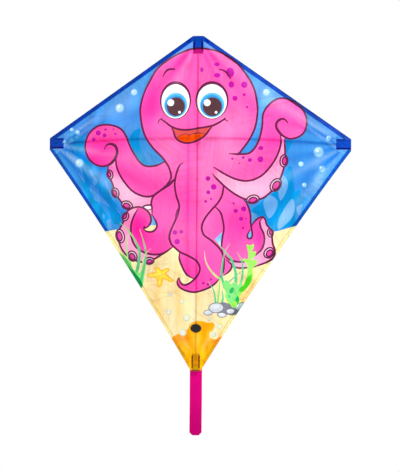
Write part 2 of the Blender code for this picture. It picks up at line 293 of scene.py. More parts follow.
def stroke(points, width=INK, ink="line", start=0.45, end=0.45, smooth=True):
    """A drawn line that thins towards its ends."""
    p = np.array(curve(points) if smooth else points)
    way, across = directions(p)
    s = distances(p)
    rise = np.clip(s / (TAPER * width), 0, 1)
    fall = np.clip((s[-1] - s) / (TAPER * width), 0, 1)
    half = width / 2 * np.minimum(start + (1 - start) * rise, end + (1 - end) * fall)[:, None]
    tip = p[-1] + way[-1] * half[-1]
    tail = p[0] - way[0] * half[0]
    fill(np.concatenate([p + across * half, [tip], (p - across * half)[::-1], [tail]]), ink)


def strokes(*lines):
    """Lines of the usual width."""
    for line in lines:
        stroke(line)


def oval(x, z, rx, rz=None, ink="spot", tilt=0):
    """An oval by its middle and half sizes, tilted anticlockwise by some degrees."""
    rz = rz or rx
    n = max(10, ceil(pi * (rx + rz) / STEP))
    a = radians(tilt)
    ring = [(rx * cos(2 * pi * i / n), rz * sin(2 * pi * i / n)) for i in range(n)]
    fill([(x + u * cos(a) - v * sin(a), z + u * sin(a) + v * cos(a)) for u, v in ring], ink)


def blade(points, widest, ink):
    """A leaf of sea grass that swells and ends in a point."""
    p = np.array(curve(points))
    across = directions(p)[1]
    t = np.linspace(0, 1, len(p))[:, None]
    half = widest / 2 * np.clip(0.16 + 1.1 * t - 0.35 * t ** 4, 0, 1)
    fill(np.concatenate([p + across * half, (p - across * half)[::-1]]), ink)


HEAD_LEFT = [
    (0, 215), (-24, 211), (-62, 194), (-98, 168), (-117, 138), (-133, 103), (-140, 70), (-138, 44),
    (-132, 16), (-122, -6), (-105, -28), (-89, -44), (-76, -59), (-67, -76), (-63, -94), (-67, -104),
    (-74, -112),
]
HEAD_RIGHT = [
    (0, 215), (22, 213), (54, 205), (86, 186), (112, 157), (133, 122), (142, 84), (143, 58), (138, 26),
    (125, -3), (110, -24), (97, -39), (76, -38),
]
LEFT_ARM = [
    (-79, -58), (-99, -67), (-123, -69), (-138, -61), (-153, -41), (-166, -17), (-174, 3), (-186, 20),
    (-204, 29), (-226, 32), (-247, 28), (-265, 13), (-275, -7), (-276, -28), (-268, -49), (-253, -63),
    (-234, -69), (-216, -65), (-202, -52), (-196, -35), (-200, -21), (-211, -15), (-223, -18), (-228, -28),
]
LEFT_ARM_INNER = [
    (-199, -43), (-198, -67), (-189, -90), (-174, -112), (-156, -130), (-135, -140), (-117, -142),
    (-102, -137), (-84, -123), (-67, -109), (-56, -100),
]
LEFT_ARM_OUTER = [
    (-218, -65), (-219, -78), (-215, -94), (-207, -112), (-201, -131), (-190, -149), (-177, -163),
    (-157, -168),
]
TRUNK_LEFT = [
    (-34, -61), (-40, -64), (-47, -76), (-53, -99), (-54, -117), (-50, -140), (-43, -163), (-45, -179),
    (-52, -199), (-60, -217), (-66, -237), (-62, -255), (-51, -266), (-40, -275), (-22, -283), (0, -296),
    (8, -311), (6, -325), (-4, -339), (-17, -350), (-29, -354), (-38, -348), (-42, -336),
]
TRUNK_FOOT = [
    (-42, -336), (-46, -344), (-45, -353), (-37, -362), (-20, -369), (-4, -371), (13, -367), (32, -359),
    (46, -349), (56, -337),
]
TRUNK_RIGHT = [
    (64, -107), (63, -122), (60, -138), (51, -155), (38, -170), (24, -187), (14, -205), (12, -219),
    (18, -234), (33, -245), (47, -257), (59, -271), (65, -286), (66, -300), (64, -321), (56, -337),
]
LOOP = [
    (-41, -276), (-42, -289), (-36, -307), (-25, -327), (-14, -335), (-4, -339),
]
LEFT_LEG_OUTER = [
    (-156, -170), (-171, -179), (-181, -205), (-189, -221), (-193, -238), (-190, -255), (-183, -271),
    (-170, -286), (-153, -295), (-135, -300), (-118, -299), (-102, -292), (-84, -281), (-66, -269),
    (-56, -261),
]
LEFT_LEG_INNER = [
    (-144, -172), (-153, -188), (-160, -208), (-161, -229), (-158, -246), (-149, -263), (-132, -275),
    (-111, -281), (-93, -281), (-78, -276),
]
LEFT_LEG_CURL = [
    (-160, -170), (-141, -167), (-126, -172), (-114, -185), (-111, -199), (-115, -210), (-124, -218),
    (-130, -216),
]
CRESCENT = [
    (-109, -186), (-99, -202), (-97, -215), (-105, -225), (-117, -227), (-127, -222), (-124, -218),
    (-115, -210), (-111, -199),
]
LEFT_LEG_TOP = [
    (-109, -186), (-109, -170), (-111, -158), (-108, -145), (-99, -134), (-78, -121), (-62, -110),
    (-55, -100),
]
RIGHT_ARM = [
    (76, -38), (99, -39), (122, -37), (134, -28), (144, -12), (151, 9), (155, 32), (156, 55), (162, 70),
    (176, 86), (193, 96), (211, 96), (234, 86), (251, 70), (260, 48), (260, 30), (252, 12), (237, 2),
    (220, -1), (206, 5), (195, 15), (188, 28), (190, 39), (200, 47), (209, 45), (216, 37),
]
RIGHT_ARM_INNER = [
    (198, 9), (200, -6), (196, -28), (186, -51), (171, -73), (154, -90), (134, -100), (116, -103),
    (93, -99), (70, -89), (53, -79), (39, -70),
]
RIGHT_ARM_OUTER = [
    (209, 1), (209, -14), (210, -35), (209, -55), (206, -75), (199, -96), (189, -115), (174, -131),
    (157, -144), (134, -149), (114, -146), (93, -136), (73, -122), (56, -107), (44, -95), (37, -86),
]
RIGHT_LEG_LEFT = [
    (43, -165), (56, -178), (62, -196), (65, -219), (62, -237), (60, -260), (63, -271),
]
RIGHT_LEG_SIDE = [
    (111, -146), (122, -162), (128, -184), (129, -204), (132, -223), (133, -233), (130, -240), (124, -241),
    (121, -235), (127, -220),
]
RIGHT_LEG_CURL = [
    (131, -213), (138, -200), (148, -192), (158, -189), (164, -196), (167, -207), (174, -216), (179, -230),
    (182, -254), (187, -268), (184, -286), (169, -297), (146, -306), (137, -310),
]
RIGHT_LEG_INNER = [
    (158, -190), (151, -199), (153, -214), (160, -229), (162, -245), (157, -264), (146, -277), (138, -284),
]
RIGHT_LEG_FOOT = [
    (68, -283), (79, -292), (97, -297), (117, -296), (134, -287),
]
RIGHT_LEG_SOLE = [
    (83, -303), (90, -309), (103, -312), (123, -311), (137, -310),
]
RIGHT_LEG_HEEL = [
    (71, -292), (78, -298), (85, -305), (83, -314), (76, -323), (66, -330),
]
MOUTH = [
    (-64, 27), (-58, 14), (-54, 2), (-46, -7), (-34, -12), (-23, -13), (-12, -11), (7, -3), (20, 8),
    (29, 20), (36, 29), (3, 23), (-24, 19), (-44, 20),
]
SMILE = [
    (-88, 44), (-79, 38), (-64, 27), (-44, 20), (-23, 19), (3, 23), (26, 27), (38, 30), (52, 37), (66, 46),
]
TONGUE = [
    (-50, -1), (-41, 5), (-27, 9), (-20, 6), (-13, 9), (6, 11), (19, 8), (7, -3), (-12, -11), (-23, -12),
    (-34, -11), (-46, -7),
]


def draw_sea():
    """The water, the sand and the lighter and darker shapes in them."""
    blob([(-166, -3), (-153, 18), (-140, 21), (-142, -3), (-135, -32), (-118, -64), (-132, -64),
          (-153, -38)], "deep")
    blob([(-298, -48), (-285, -60), (-276, -84), (-262, -108), (-264, -130), (-246, -156), (-222, -184),
          (-214, -206), (-226, -214), (-248, -180), (-272, -140), (-290, -100)], "deep")
    blob([(-312, -28), (-288, -40), (-262, -66), (-240, -104), (-218, -130), (-198, -160), (-186, -204),
          (-204, -208), (-222, -160), (-240, -128), (-262, -92), (-286, -62)], "deep")
    for shape in (
        [(-267, -78), (-262, -92), (-256, -103), (-264, -114), (-264, -128), (-256, -138), (-253, -150),
         (-240, -155), (-228, -160), (-215, -168), (-222, -155), (-235, -144), (-242, -134), (-243, -125),
         (-252, -120), (-245, -105), (-253, -92), (-259, -80)],
        [(-229, -103), (-223, -105), (-215, -120), (-205, -142), (-200, -157), (-210, -144), (-219, -125)],
        [(-199, -166), (-193, -175), (-188, -183), (-194, -180)],
        [(-222, -201), (-215, -197), (-210, -212), (-212, -222), (-219, -216)],
        [(-233, -184), (-227, -188), (-230, -196)],
        [(-326, -29), (-308, -37), (-293, -50), (-289, -64), (-284, -81), (-279, -100), (-277, -109),
         (-284, -104), (-297, -82), (-312, -59)],
    ):
        blob(shape, "drift")
    blob([(-318, 16), (-300, 12), (-282, 2), (-277, -20), (-284, -40), (-306, -24), (-322, -6)], "deep")
    blob([(222, -66), (229, -80), (231, -108), (236, -127), (245, -122), (249, -137), (263, -140),
          (252, -157), (241, -167), (236, -183), (234, -207), (198, -217), (183, -222), (163, -198),
          (146, -184), (130, -174), (145, -161), (163, -146), (183, -129), (202, -99), (212, -79)], "deep")
    for petal in (
        [(205, -89), (216, -102), (215, -123), (200, -149), (194, -120)],
        [(160, -151), (174, -137), (192, -150), (189, -172), (173, -192), (163, -174)],
        [(228, -145), (233, -175), (221, -198), (195, -218), (198, -189)],
        [(131, -178), (144, -188), (134, -204)],
        [(252, -157), (238, -166), (244, -185), (249, -172)],
    ):
        blob(petal, "shallow")
    blob([(211, -3), (227, -8), (222, -20), (213, -36)], "deep")
    sand_line = [(-262, -234), (-226, -227), (-197, -222), (-183, -220), (-114, -224), (8, -226),
                 (104, -226), (185, -224), (229, -212), (265, -203)]
    fill(curve(sand_line) + [(400, -300), (0, -700), (-400, -300)], "sand")
    orange_line = [(-64, -486), (-57, -480), (-48, -474), (-31, -467), (-20, -460), (-15, -449), (-3, -441),
                   (13, -440), (27, -444), (41, -444), (45, -451), (41, -462), (33, -468), (35, -479),
                   (46, -484), (59, -477), (66, -480)]
    fill(curve(orange_line) + [(70, -600), (-70, -600)], "orange")


def bubble(x, z, r, body, rim):
    """A bubble with a darker rim and a glint high on its left."""
    oval(x, z, r, ink=rim)
    oval(x - 0.06 * r, z + 0.06 * r, 0.82 * r, ink=body)
    oval(x - 0.3 * r, z + 0.3 * r, 0.34 * r, ink="glint")


def draw_bubbles():
    """Bubbles in the water and over the sand."""
    for x, z, r in ((-156, 110, 8.2), (-191, 72, 11.1), (-312, 21, 4.7), (-296, 13, 5.9), (-291, -61, 10.8),
                    (-330, -11, 5.9), (164, 110, 9.1), (313, 2, 6.5), (290, -32, 12.6), (298, -72, 8.8),
                    (248, -61, 6.5), (256, -111, 5.9)):
        bubble(x, z, r, "bubble", "bubble_rim")
    for x, z, r in ((-63, -379, 5.0), (-34, -394, 5.6), (-66, -420, 6.9), (-23, -433, 8.3),
                    (-31, -468, 8.9),
                    (32, -435, 4.2), (57, -453, 5.6), (42, -472, 6.7)):
        bubble(x, z, r, "sand_bubble", "sand_bubble_rim")


def draw_star():
    """A plump starfish on the sand."""
    outline = [(-101, -316), (-98, -312), (-94, -313), (-84, -320), (-72, -315), (-67, -316), (-68, -321),
               (-75, -327), (-65, -336), (-57, -344), (-60, -347), (-70, -343), (-80, -339), (-84, -350),
               (-87, -358), (-92, -358), (-94, -347), (-97, -338), (-108, -336), (-118, -335), (-120, -331),
               (-108, -326), (-98, -325), (-99, -320)]
    points = curve(outline, closed=True)
    fill(points, "star")
    for tip in ((-96, -318), (-72, -319), (-64, -341), (-90, -352), (-112, -332)):
        stroke([(-87, -330), tip], 2.4, "star_light", smooth=False)
    stroke(points + points[:1], 2.2, "star_edge", start=1, end=1, smooth=False)


# How far a sucker's mouth is off its middle, in millimetres, and its share of the sucker's size.
MOUTH_OFF = 1.3
MOUTH_SHARE = 0.86


def suckers(heart, *places):
    """Suckers on the edge of a limb: their mouths face away from the limb's heart."""
    for x, z, rx, rz, tilt in places:
        oval(x, z, rx + 2.9, rz + 2.7, "line", tilt)
        oval(x, z, rx - 0.9, rz - 1.1, "pale_light", tilt)
        out = (Vector((x, z)) - Vector(heart)).normalized() * MOUTH_OFF
        rx, rz = MOUTH_SHARE * rx, MOUTH_SHARE * rz
        oval(x + out.x, z + out.y, rx, rz, "line", tilt)
        oval(x + out.x, z + out.y, rx - 3.4, rz - 3.8, "sucker", tilt)


def draw_limbs():
    """The arms and legs, from the ones behind to the ones in front."""
    arm, inner, outer = curve(LEFT_ARM), curve(LEFT_ARM_INNER), curve(LEFT_ARM_OUTER)
    fill(outer + [(-128, -176), (-104, -196), (-104, -150), (-94, -130)] + inner[::-1], "pale")
    fill(arm[:-14] + inner + [(-40, -80)], "pink")
    leg_outer, leg_inner = curve(LEFT_LEG_OUTER), curve(LEFT_LEG_INNER)
    side = [p for p in curve(TRUNK_LEFT) if -262 < p[1] < -100]
    top, curl = curve(LEFT_LEG_TOP), curve(LEFT_LEG_CURL)
    fill([(-160, -170)] + curl[:12] + top + side + leg_outer[::-1], "pale")
    oval(-120, -168, 15, 7.6, "line", 8)
    oval(-120, -169, 11.4, 4.2, "pale_light", 8)
    fill(leg_inner + [(-60, -262)] + side[::-1] + top[::-1] + curl[11:2:-1], "pink")
    fill([(-76, -112), (-62, -90), (-48, -92), (-50, -114), (-66, -118), (-84, -126)], "pink")
    crescent = curve(CRESCENT, closed=True)
    fill(crescent, "hole")
    fill([p for p in crescent if p[1] < -210], "sand")
    strokes(LEFT_ARM_OUTER, LEFT_ARM_INNER)
    stroke(LEFT_ARM[:20], start=0.6)
    stroke(LEFT_ARM[16:], 7.0, start=0.5, end=0.3)
    strokes(LEFT_LEG_OUTER, LEFT_LEG_TOP)
    stroke(LEFT_LEG_CURL, start=0.9)
    strokes([(-130, -216), (-127, -223), (-117, -227), (-105, -225), (-97, -215), (-99, -202),
             (-109, -186)], LEFT_LEG_INNER)
    oval(-127, -216.5, 3.2, ink="line")
    suckers((-150, -100), (-214, -89, 6.4, 10.2, 12), (-200, -133, 7.6, 10.8, 22),
            (-171, -163, 12.6, 9.0, -18))
    suckers((-135, -225), (-175, -191, 6.4, 9.8, -28), (-188, -238, 9.4, 15.4, 12),
            (-157, -286, 9.4, 12.0, 36), (-115, -297, 10.4, 7.4, 8))

    trunk_right = curve(TRUNK_RIGHT)
    leg_side, leg_curl = curve(RIGHT_LEG_SIDE), curve(RIGHT_LEG_CURL)
    right = [p for p in leg_side if p[1] > -212] + leg_curl
    heel, sole, foot = curve(RIGHT_LEG_HEEL), curve(RIGHT_LEG_SOLE), curve(RIGHT_LEG_FOOT)
    fill([(50, -110), (90, -130)] + right + sole[::-1] + heel[3:] + trunk_right[::-1], "pink")
    fill(curve(RIGHT_LEG_INNER) + foot[::-1][:-4] + sole + leg_curl[::-1][:-6], "pale")
    blob([(131, -222), (133, -233), (130, -240), (124, -241), (121, -235), (127, -225)], "hole")
    fill([(61, -226), (43, -244), (58, -262)], "hole")
    strokes(RIGHT_LEG_LEFT, RIGHT_LEG_SIDE, RIGHT_LEG_CURL, RIGHT_LEG_INNER, RIGHT_LEG_FOOT, RIGHT_LEG_SOLE,
            RIGHT_LEG_HEEL)
    suckers((140, -245), (176, -227, 5.8, 9.2, 6), (173, -275, 9.4, 12.8, -40))


def draw_body():
    """The head, the trunk, the right arm and the spots."""
    head_left, head_right = curve(HEAD_LEFT), curve(HEAD_RIGHT)
    trunk_left, trunk_foot, trunk_right = curve(TRUNK_LEFT), curve(TRUNK_FOOT), curve(TRUNK_RIGHT)
    below = [p for p in trunk_left if p[1] < -97]
    fill([p for p in head_left if p[1] > -95] + below + trunk_foot + trunk_right[::-1] + [(80, -80)]
         + head_right[::-1], "pink")
    hook = curve([(-40, -275), (-22, -283), (0, -296), (8, -311), (6, -325), (-4, -339)])
    fill(curve(LOOP) + hook[::-1], "pink")
    stroke(LOOP)
    stroke(HEAD_LEFT, start=1)
    stroke(HEAD_RIGHT, start=1)
    strokes(TRUNK_LEFT, TRUNK_FOOT, TRUNK_RIGHT)
    oval(-48, -183, 3.6, 13.0, "line", -12)
    oval(-48, -184, 1.9, 9.5, "shade", -12)
    arm, inner, outer = curve(RIGHT_ARM), curve(RIGHT_ARM_INNER), curve(RIGHT_ARM_OUTER)
    fill(inner + outer[::-1], "pale")
    fill(arm[:-14] + inner + [(30, -60)], "pink")
    strokes(RIGHT_ARM_OUTER, RIGHT_ARM_INNER, RIGHT_ARM[:23])
    stroke(RIGHT_ARM[18:], 6.4, start=0.5, end=0.4)
    suckers((140, -60), (207, -54, 8.0, 13.4, -4), (188, -112, 10.4, 15.6, -34), (134, -147, 13.6, 9.0, 14))
    for x, z, rx, rz in (
        (45, 176, 6.5, 5.2), (9, 163, 4.7, 5.8), (46, 150, 7.9, 5.8), (77, 157, 9.7, 12.2),
        (80, 128, 7.0, 7.9), (111, 128, 7.9, 7.9), (111, 104, 4.1, 3.5), (89, 95, 6.2, 6.4),
        (118, 74, 3.2, 3.2), (-244, 12, 6.5, 6.4), (-255, -4, 5.0, 4.9), (-228, 6, 5.0, 4.9),
        (-226, 20, 3.5, 2.9), (-206, 21, 2.3, 2.3), (-201, 9, 2.9, 2.9), (26, -98, 5.9, 5.8),
        (40, -118, 7.0, 7.0), (27, -131, 5.0, 4.9), (34, -147, 2.6, 2.6), (21, -153, 3.5, 3.5),
        (152, -24, 6.2, 5.2), (151, -51, 7.3, 7.3), (126, -53, 5.0, 4.9), (110, -47, 3.5, 3.5),
        (84, -50, 2.9, 2.9), (101, -61, 2.1, 2.0), (88, -157, 2.9, 2.9), (112, -170, 6.5, 6.4),
        (93, -175, 5.3, 5.2), (106, -194, 5.0, 4.9), (118, -193, 2.3, 2.3), (111, -216, 2.9, 2.9),
        (-53, -228, 5.9, 5.8), (-37, -226, 5.0, 4.9), (-47, -250, 6.7, 6.7), (17, -349, 3.2, 3.2),
        (28, -352, 3.2, 3.2), (35, -340, 2.6, 2.6), (4, -361, 1.8, 1.7),
    ):
        oval(x, z, rx, rz, "spot")


def draw_face():
    """The eyes, the mouth and the brows."""
    for x, wide in ((-54, 1.0), (34, 1.05)):
        oval(x, 90, 37.8 * wide, 45.8, "line")
        oval(x, 87.3, 34.0 * wide, 41.2, "white")
        oval(x + 0.5, 78.5, 28 * wide, 29.6, "iris")
        oval(x - 0.5, 76.5, 25 * wide, 26, "iris_deep")
        oval(x + 1, 74.5, 21.8 * wide, 22.6, "pupil")
        oval(x - 11.5, 84, 8.2, ink="white")
        oval(x + 10, 61, 3.4, ink="white")
    blob(MOUTH, "mouth")
    blob(TONGUE, "tongue")
    stroke(TONGUE[:7], 1.6)
    stroke([(-23, 1), (-20, 5), (-15, 8)], 1.6)
    stroke(MOUTH[:11])
    stroke(SMILE, start=0.8, end=0.8)
    stroke([(-86, 47), (-93, 42), (-96, 33)], FINE_INK)
    stroke([(64, 48), (67, 43), (73, 40)], FINE_INK)
    stroke([(-86, 146), (-81, 156), (-72, 164), (-57, 165)], 5.6, start=0.3, end=0.8)
    stroke([(51, 164), (60, 162), (70, 155), (78, 142)], 5.2, start=0.6, end=0.6)


def draw_plants():
    """Sea grass, a branching coral and a heap of stones, in front of the legs."""
    blob([(-191, -279), (-162, -299), (-155, -317), (-139, -326), (-129, -305), (-123, -293), (-126, -325),
          (-135, -363), (-156, -334), (-174, -306)], "grass_light")
    blob([(-188, -285), (-165, -314), (-156, -321), (-132, -349), (-135, -363), (-156, -337),
          (-174, -309)], "grass_deep")
    for line, widest, ink in (
        ([(-189, -205), (-165, -227), (-147, -255), (-139, -278), (-142, -305), (-147, -326)], 8, "grass"),
        ([(-139, -221), (-130, -249), (-124, -275), (-126, -299), (-135, -345)], 6.5, "grass"),
        ([(-164, -221), (-171, -249), (-171, -273), (-169, -290)], 4, "grass_light"),
        ([(-111, -267), (-121, -277), (-129, -293), (-133, -315)], 4, "grass_pale"),
        ([(19, -271), (22, -295), (32, -315), (45, -330), (61, -341)], 5.5, "grass_pale"),
        ([(47, -247), (62, -266), (82, -289), (91, -311), (95, -335), (92, -366)], 8, "grass_blue"),
        ([(80, -253), (68, -273), (63, -301), (61, -330), (68, -362)], 6, "grass_blue"),
        ([(97, -274), (107, -292), (111, -318), (108, -344), (103, -366)], 6.5, "grass_blue"),
        ([(118, -313), (97, -329), (71, -352)], 3.5, "grass_blue"),
        ([(28, -344), (42, -367), (47, -400)], 4.5, "grass_blue"),
        ([(56, -338), (55, -364), (51, -400)], 5.5, "grass_light"),
        ([(62, -364), (64, -382), (62, -400)], 6, "grass_blue"),
    ):
        blade(line, widest, ink)
    blob([(120, -255), (128, -258), (136, -254), (136, -265), (130, -273), (141, -272), (140, -283),
          (131, -292), (144, -292), (144, -302), (135, -312), (135, -332), (129, -350), (113, -368),
          (105, -379), (102, -399), (86, -407), (76, -396), (69, -380), (71, -372), (87, -373), (101, -364),
          (113, -352), (120, -334), (122, -312), (118, -299), (109, -294), (114, -289), (122, -291),
          (124, -279), (122, -268)], "coral")
    blob([(64, -350), (72, -341), (83, -351), (92, -345), (100, -352), (110, -343), (106, -360),
          (100, -378), (95, -392), (85, -397), (75, -386), (70, -370)], "coral_base")
    blob([(132, -328), (129, -348), (117, -364), (109, -370), (101, -366), (113, -352), (121, -335)],
         "coral_deep")
    blob([(98, -379), (103, -388), (98, -399), (91, -402)], "grass_deep")
    oval(85, -366, 4.6, 8, "grass_deep", -28)
    oval(79, -381, 2.6, 5, "grass_blue", 20)
    blob([(58, -396), (78, -397), (88, -404), (100, -412), (104, -418), (94, -424), (84, -426), (68, -422),
          (56, -420)], "stone_dark")
    for x, z, rx, rz, tilt in (
        (29, -420, 11.4, 7.2, 4), (105, -404, 13.0, 8.0, 34), (62, -425, 11.6, 6.8, -4),
        (82, -416, 10.6, 7.2, 4), (48, -408, 18.4, 12.6, 4),
    ):
        oval(x, z, rx, rz, "stone_rim", tilt)
        oval(x, z, rx - 1.5, rz - 1.5, "stone", tilt)
        oval(x - 0.18 * rx, z + 0.22 * rz, 0.6 * rx, 0.5 * rz, "stone_light", tilt)
    blob([(89, -392), (97, -392), (96, -404), (88, -408), (82, -400)], "coral")


# Print colours, as sRGB.
INKS = {
    "water": (60, 143, 216), "deep": (0, 142, 208), "shallow": (112, 170, 224), "drift": (88, 156, 222),
    "hole": (120, 190, 240), "sand": (248, 227, 177), "orange": (250, 180, 0), "pink": (255, 97, 177),
    "pale": (254, 160, 200), "pale_light": (255, 226, 240), "line": (104, 34, 76), "shade": (130, 70, 100),
    "spot": (188, 22, 164), "sucker": (226, 64, 160), "white": (252, 252, 252), "iris": (92, 190, 240),
    "iris_deep": (52, 150, 216), "pupil": (88, 56, 62), "mouth": (222, 84, 80), "tongue": (255, 78, 0),
    "star": (255, 216, 60), "star_edge": (250, 170, 30), "star_light": (255, 236, 130),
    "bubble": (168, 210, 230), "bubble_rim": (124, 184, 240), "glint": (208, 232, 238),
    "sand_bubble": (228, 228, 204), "sand_bubble_rim": (196, 206, 160), "grass": (84, 200, 128),
    "grass_light": (130, 226, 120), "grass_deep": (0, 178, 90), "grass_blue": (70, 200, 140),
    "grass_pale": (196, 214, 140), "coral": (150, 234, 84), "coral_deep": (62, 206, 10),
    "coral_base": (128, 226, 122), "stone": (204, 208, 218), "stone_light": (222, 226, 232),
    "stone_dark": (128, 128, 140), "stone_rim": (104, 104, 116),
}

# Inks that take the same painted shade and tints on folds and rods and under hems and webbing.
FAMILIES = {
    "pink": ("pink", "pale", "pale_light", "spot", "sucker"),
    "blue": ("water", "deep", "shallow", "drift", "hole", "bubble", "bubble_rim"),
    "sand": ("sand", "sand_bubble", "sand_bubble_rim", "star", "star_edge"),
    "orange": ("orange",),
}

# What part of red, green and blue the painted shade of folds and the rods' painted shadows take from the
# print.
SHADE_TONES = {
    "pink": (0.02, 0.80, 0.30), "blue": (0.85, 0.42, 0.12), "sand": (0.14, 0.20, 0.34),
    "orange": (0.10, 0.30, 0.20), "plain": (0.16, 0.16, 0.16),
}

# What part of red, green and blue is left where a hem or sewn webbing behind the cloth holds back the
# light through it: painted shade, with a little painted light on the sand and orange of the lower hems.
# FOOT_LINE is a darker line along the foot's seam, HEM_LINE painted shade where a lower hem is sewn down.
UPPER_HEM = {"pink": (0.30, 0.03, 0.46), "blue": (0.0, 0.25, 0.78), "plain": (0.4, 0.4, 0.5)}
LOWER_HEM = {"pink": (0.9, 0.6, 0.8), "blue": (0.02, 0.43, 0.85), "sand": (1.05, 1.20, 1.12),
             "orange": (0.96, 1.14, 0.9), "plain": (0.75, 0.92, 0.8)}
SEWN = {"pink": (0.80, 0.03, 0.70), "blue": (0.0, 0.30, 0.92), "orange": (0.94, 0.82, 1.0),
        "plain": (0.5, 0.5, 0.5)}
SEWN_EDGE = {"pink": (0.44, 0.02, 0.38), "blue": (0.0, 0.06, 0.42), "orange": (0.30, 0.20, 1.0),
             "plain": (0.2, 0.2, 0.2)}
FOOT_LINE = {"plain": (0.22, 0.03, 0.9)}
HEM_LINE = {"sand": (0.50, 0.45, 0.28), "orange": (0.62, 0.48, 0.4), "blue": (0.2, 0.55, 0.8),
            "plain": (0.6, 0.6, 0.6)}

# How wide the line of painted shade is where a lower hem is sewn down, in metres.
HEM_LINE_WIDTH = 0.0012

# How much darker the lower hems' thread is than the cloth it holds.
THREAD_TONE = 0.5

# Where a print colour turns to another one, by ink: the other colour, the spot's centre and half
# sizes in millimetres, and its strength.
TINTS = {
    "water": [((96, 150, 228), (0, 220), (120, 60), 0.9), ((48, 126, 216), (-250, 10), (80, 50), 0.7),
        ((40, 144, 222), (-250, -150), (70, 90), 0.8), ((110, 168, 240), (-180, 60), (40, 70), 0.6),
        ((120, 174, 242), (170, 70), (40, 90), 0.6), ((70, 148, 230), (280, -60), (70, 60), 0.6),
        ((126, 182, 242), (290, -110), (14, 70), 0.7)],
    "pink": [((255, 43, 163), (-236, -26), (52, 42), 0.85), ((255, 79, 175), (-170, -70), (40, 60), 0.5),
        ((255, 31, 159), (-142, -222), (30, 62), 1.0), ((255, 75, 179), (-90, -240), (44, 50), 0.6),
        ((255, 69, 175), (176, -10), (36, 50), 0.65), ((255, 75, 177), (225, 60), (40, 34), 0.45),
        ((255, 65, 177), (108, -200), (44, 44), 0.8), ((255, 39, 165), (152, -250), (14, 40), 0.9),
        ((255, 65, 173), (0, -320), (50, 60), 0.7), ((255, 53, 167), (-112, 84), (30, 70), 0.85),
        ((255, 65, 171), (-20, 185), (70, 30), 0.8), ((255, 59, 169), (0, 40), (14, 60), 0.4),
        ((255, 143, 197), (78, 0), (50, 70), 0.8), ((255, 137, 195), (-70, -20), (34, 40), 0.5),
        ((255, 139, 197), (20, -110), (26, 90), 0.5), ((255, 83, 177), (-20, -190), (24, 110), 0.6)],
    "pale": [((255, 194, 218), (110, -122), (60, 24), 0.5), ((255, 84, 172), (38, -74), (12, 16), 1.0),
        ((255, 138, 198), (-190, -240), (20, 60), 0.5), ((255, 192, 220), (-170, -125), (30, 40), 0.6)],
    "sand": [((245, 243, 195), (-20, -310), (70, 50), 0.6),
        ((250, 207, 125), (-95, -390), (34, 90), 0.55), ((250, 201, 115), (120, -370), (30, 70), 0.7),
        ((250, 213, 145), (-40, -400), (14, 60), 0.5)],
    "orange": [((250, 148, 32), (-40, -482), (22, 12), 0.9), ((250, 140, 36), (44, -486), (18, 12), 0.9),
        ((250, 160, 12), (18, -452), (30, 12), 0.8), ((250, 206, 32), (18, -512), (12, 22), 0.7),
        ((250, 198, 42), (-26, -504), (10, 18), 0.6), ((245, 132, 12), (-22, -478), (7, 20), 0.7),
        ((245, 138, 2), (26, -506), (5, 16), 0.7), ((250, 216, 52), (6, -486), (6, 18), 0.7),
        ((250, 218, 72), (34, -476), (6, 12), 0.6)],
    "tongue": [((255, 120, 60), (-16, 12), (50, 4), 0.5)],
    "mouth": [((200, 70, 70), (-16, 24), (60, 8), 0.5)],
    "hole": [((60, 140, 214), (-100, -198), (8, 16), 0.8), ((236, 250, 246), (58, -258), (20, 10), 0.8)],
    "grass": [((160, 220, 130), (-160, -225), (30, 22), 0.8)],
    "grass_blue": [((150, 190, 150), (60, -262), (44, 22), 0.7)],
    "grass_pale": [((150, 220, 110), (58, -342), (16, 16), 0.8)],
}


def linear(colour):
    """An sRGB colour, from 0 to 255, as linear colour."""
    c = np.array(colour, float) / 255
    return np.where(c <= 0.04045, c / 12.92, ((c + 0.055) / 1.055) ** 2.4)


def painted(ink, x, z):
    """The print's colour at points of one ink, in millimetres, as linear colour."""
    colour = np.repeat(linear(INKS[ink])[None, :], len(x), 0)
    for other, (cx, cz), (wx, wz), strength in TINTS.get(ink, ()):
        share = (strength * bell(np.hypot((x - cx) / wx, (z - cz) / wz), 1.0))[:, None]
        colour = colour * (1 - share) + linear(other) * share
    if ink in ("water", "shallow", "drift", "deep"):
        wave = 0.5 + 0.5 * np.sin(0.045 * x + 0.03 * z + 2.2 * np.sin(0.021 * z + 0.013 * x))
        wave2 = 0.5 + 0.5 * np.sin(0.11 * x - 0.06 * z + 1.7 * np.sin(0.05 * x))
        colour = colour * (1 + 0.32 * (wave * wave2 - 0.3))[:, None]
    if ink == "sand":
        streak = np.sin(0.19 * x + 0.8 * np.sin(0.015 * z)) * np.sin(0.057 * x + 1.1)
        streak = streak * step(-z, 250, 340)
        colour = colour * (1 - np.outer(np.clip(streak, 0, 1), [0.0, 0.07, 0.28]))
    if ink == "star":
        colour = colour * (1 - 0.10 * bell(np.hypot(x + 86, z + 334), 6.0))[:, None]
    return colour


def family(ink):
    """Which group of colours an ink belongs to."""
    return next((name for name, inks in FAMILIES.items() if ink in inks), "plain")


# Lines of painted shade and painted highlight for the pleats below the upper hems: how far below them
# they lie, their half widths and heights, and from which distance from the spine they show, in millimetres.
PLEAT_SHADE = ((20, 1.8, 1.0), (31, 2.4, 1.0), (44, 3.0, 0.6))
PLEAT_HIGHLIGHTS = ((25, 2.2, 1.0), (37, 2.6, 1.0))
PLEATS_FROM = (215, 300)


def pleat_shading(x, below, rows):
    """How strongly the painted pleat lines show at points some way below the upper hem's edge."""
    total = sum(height * bell(below - at, width) for at, width, height in rows)
    return total * step(np.abs(x), *PLEATS_FROM)


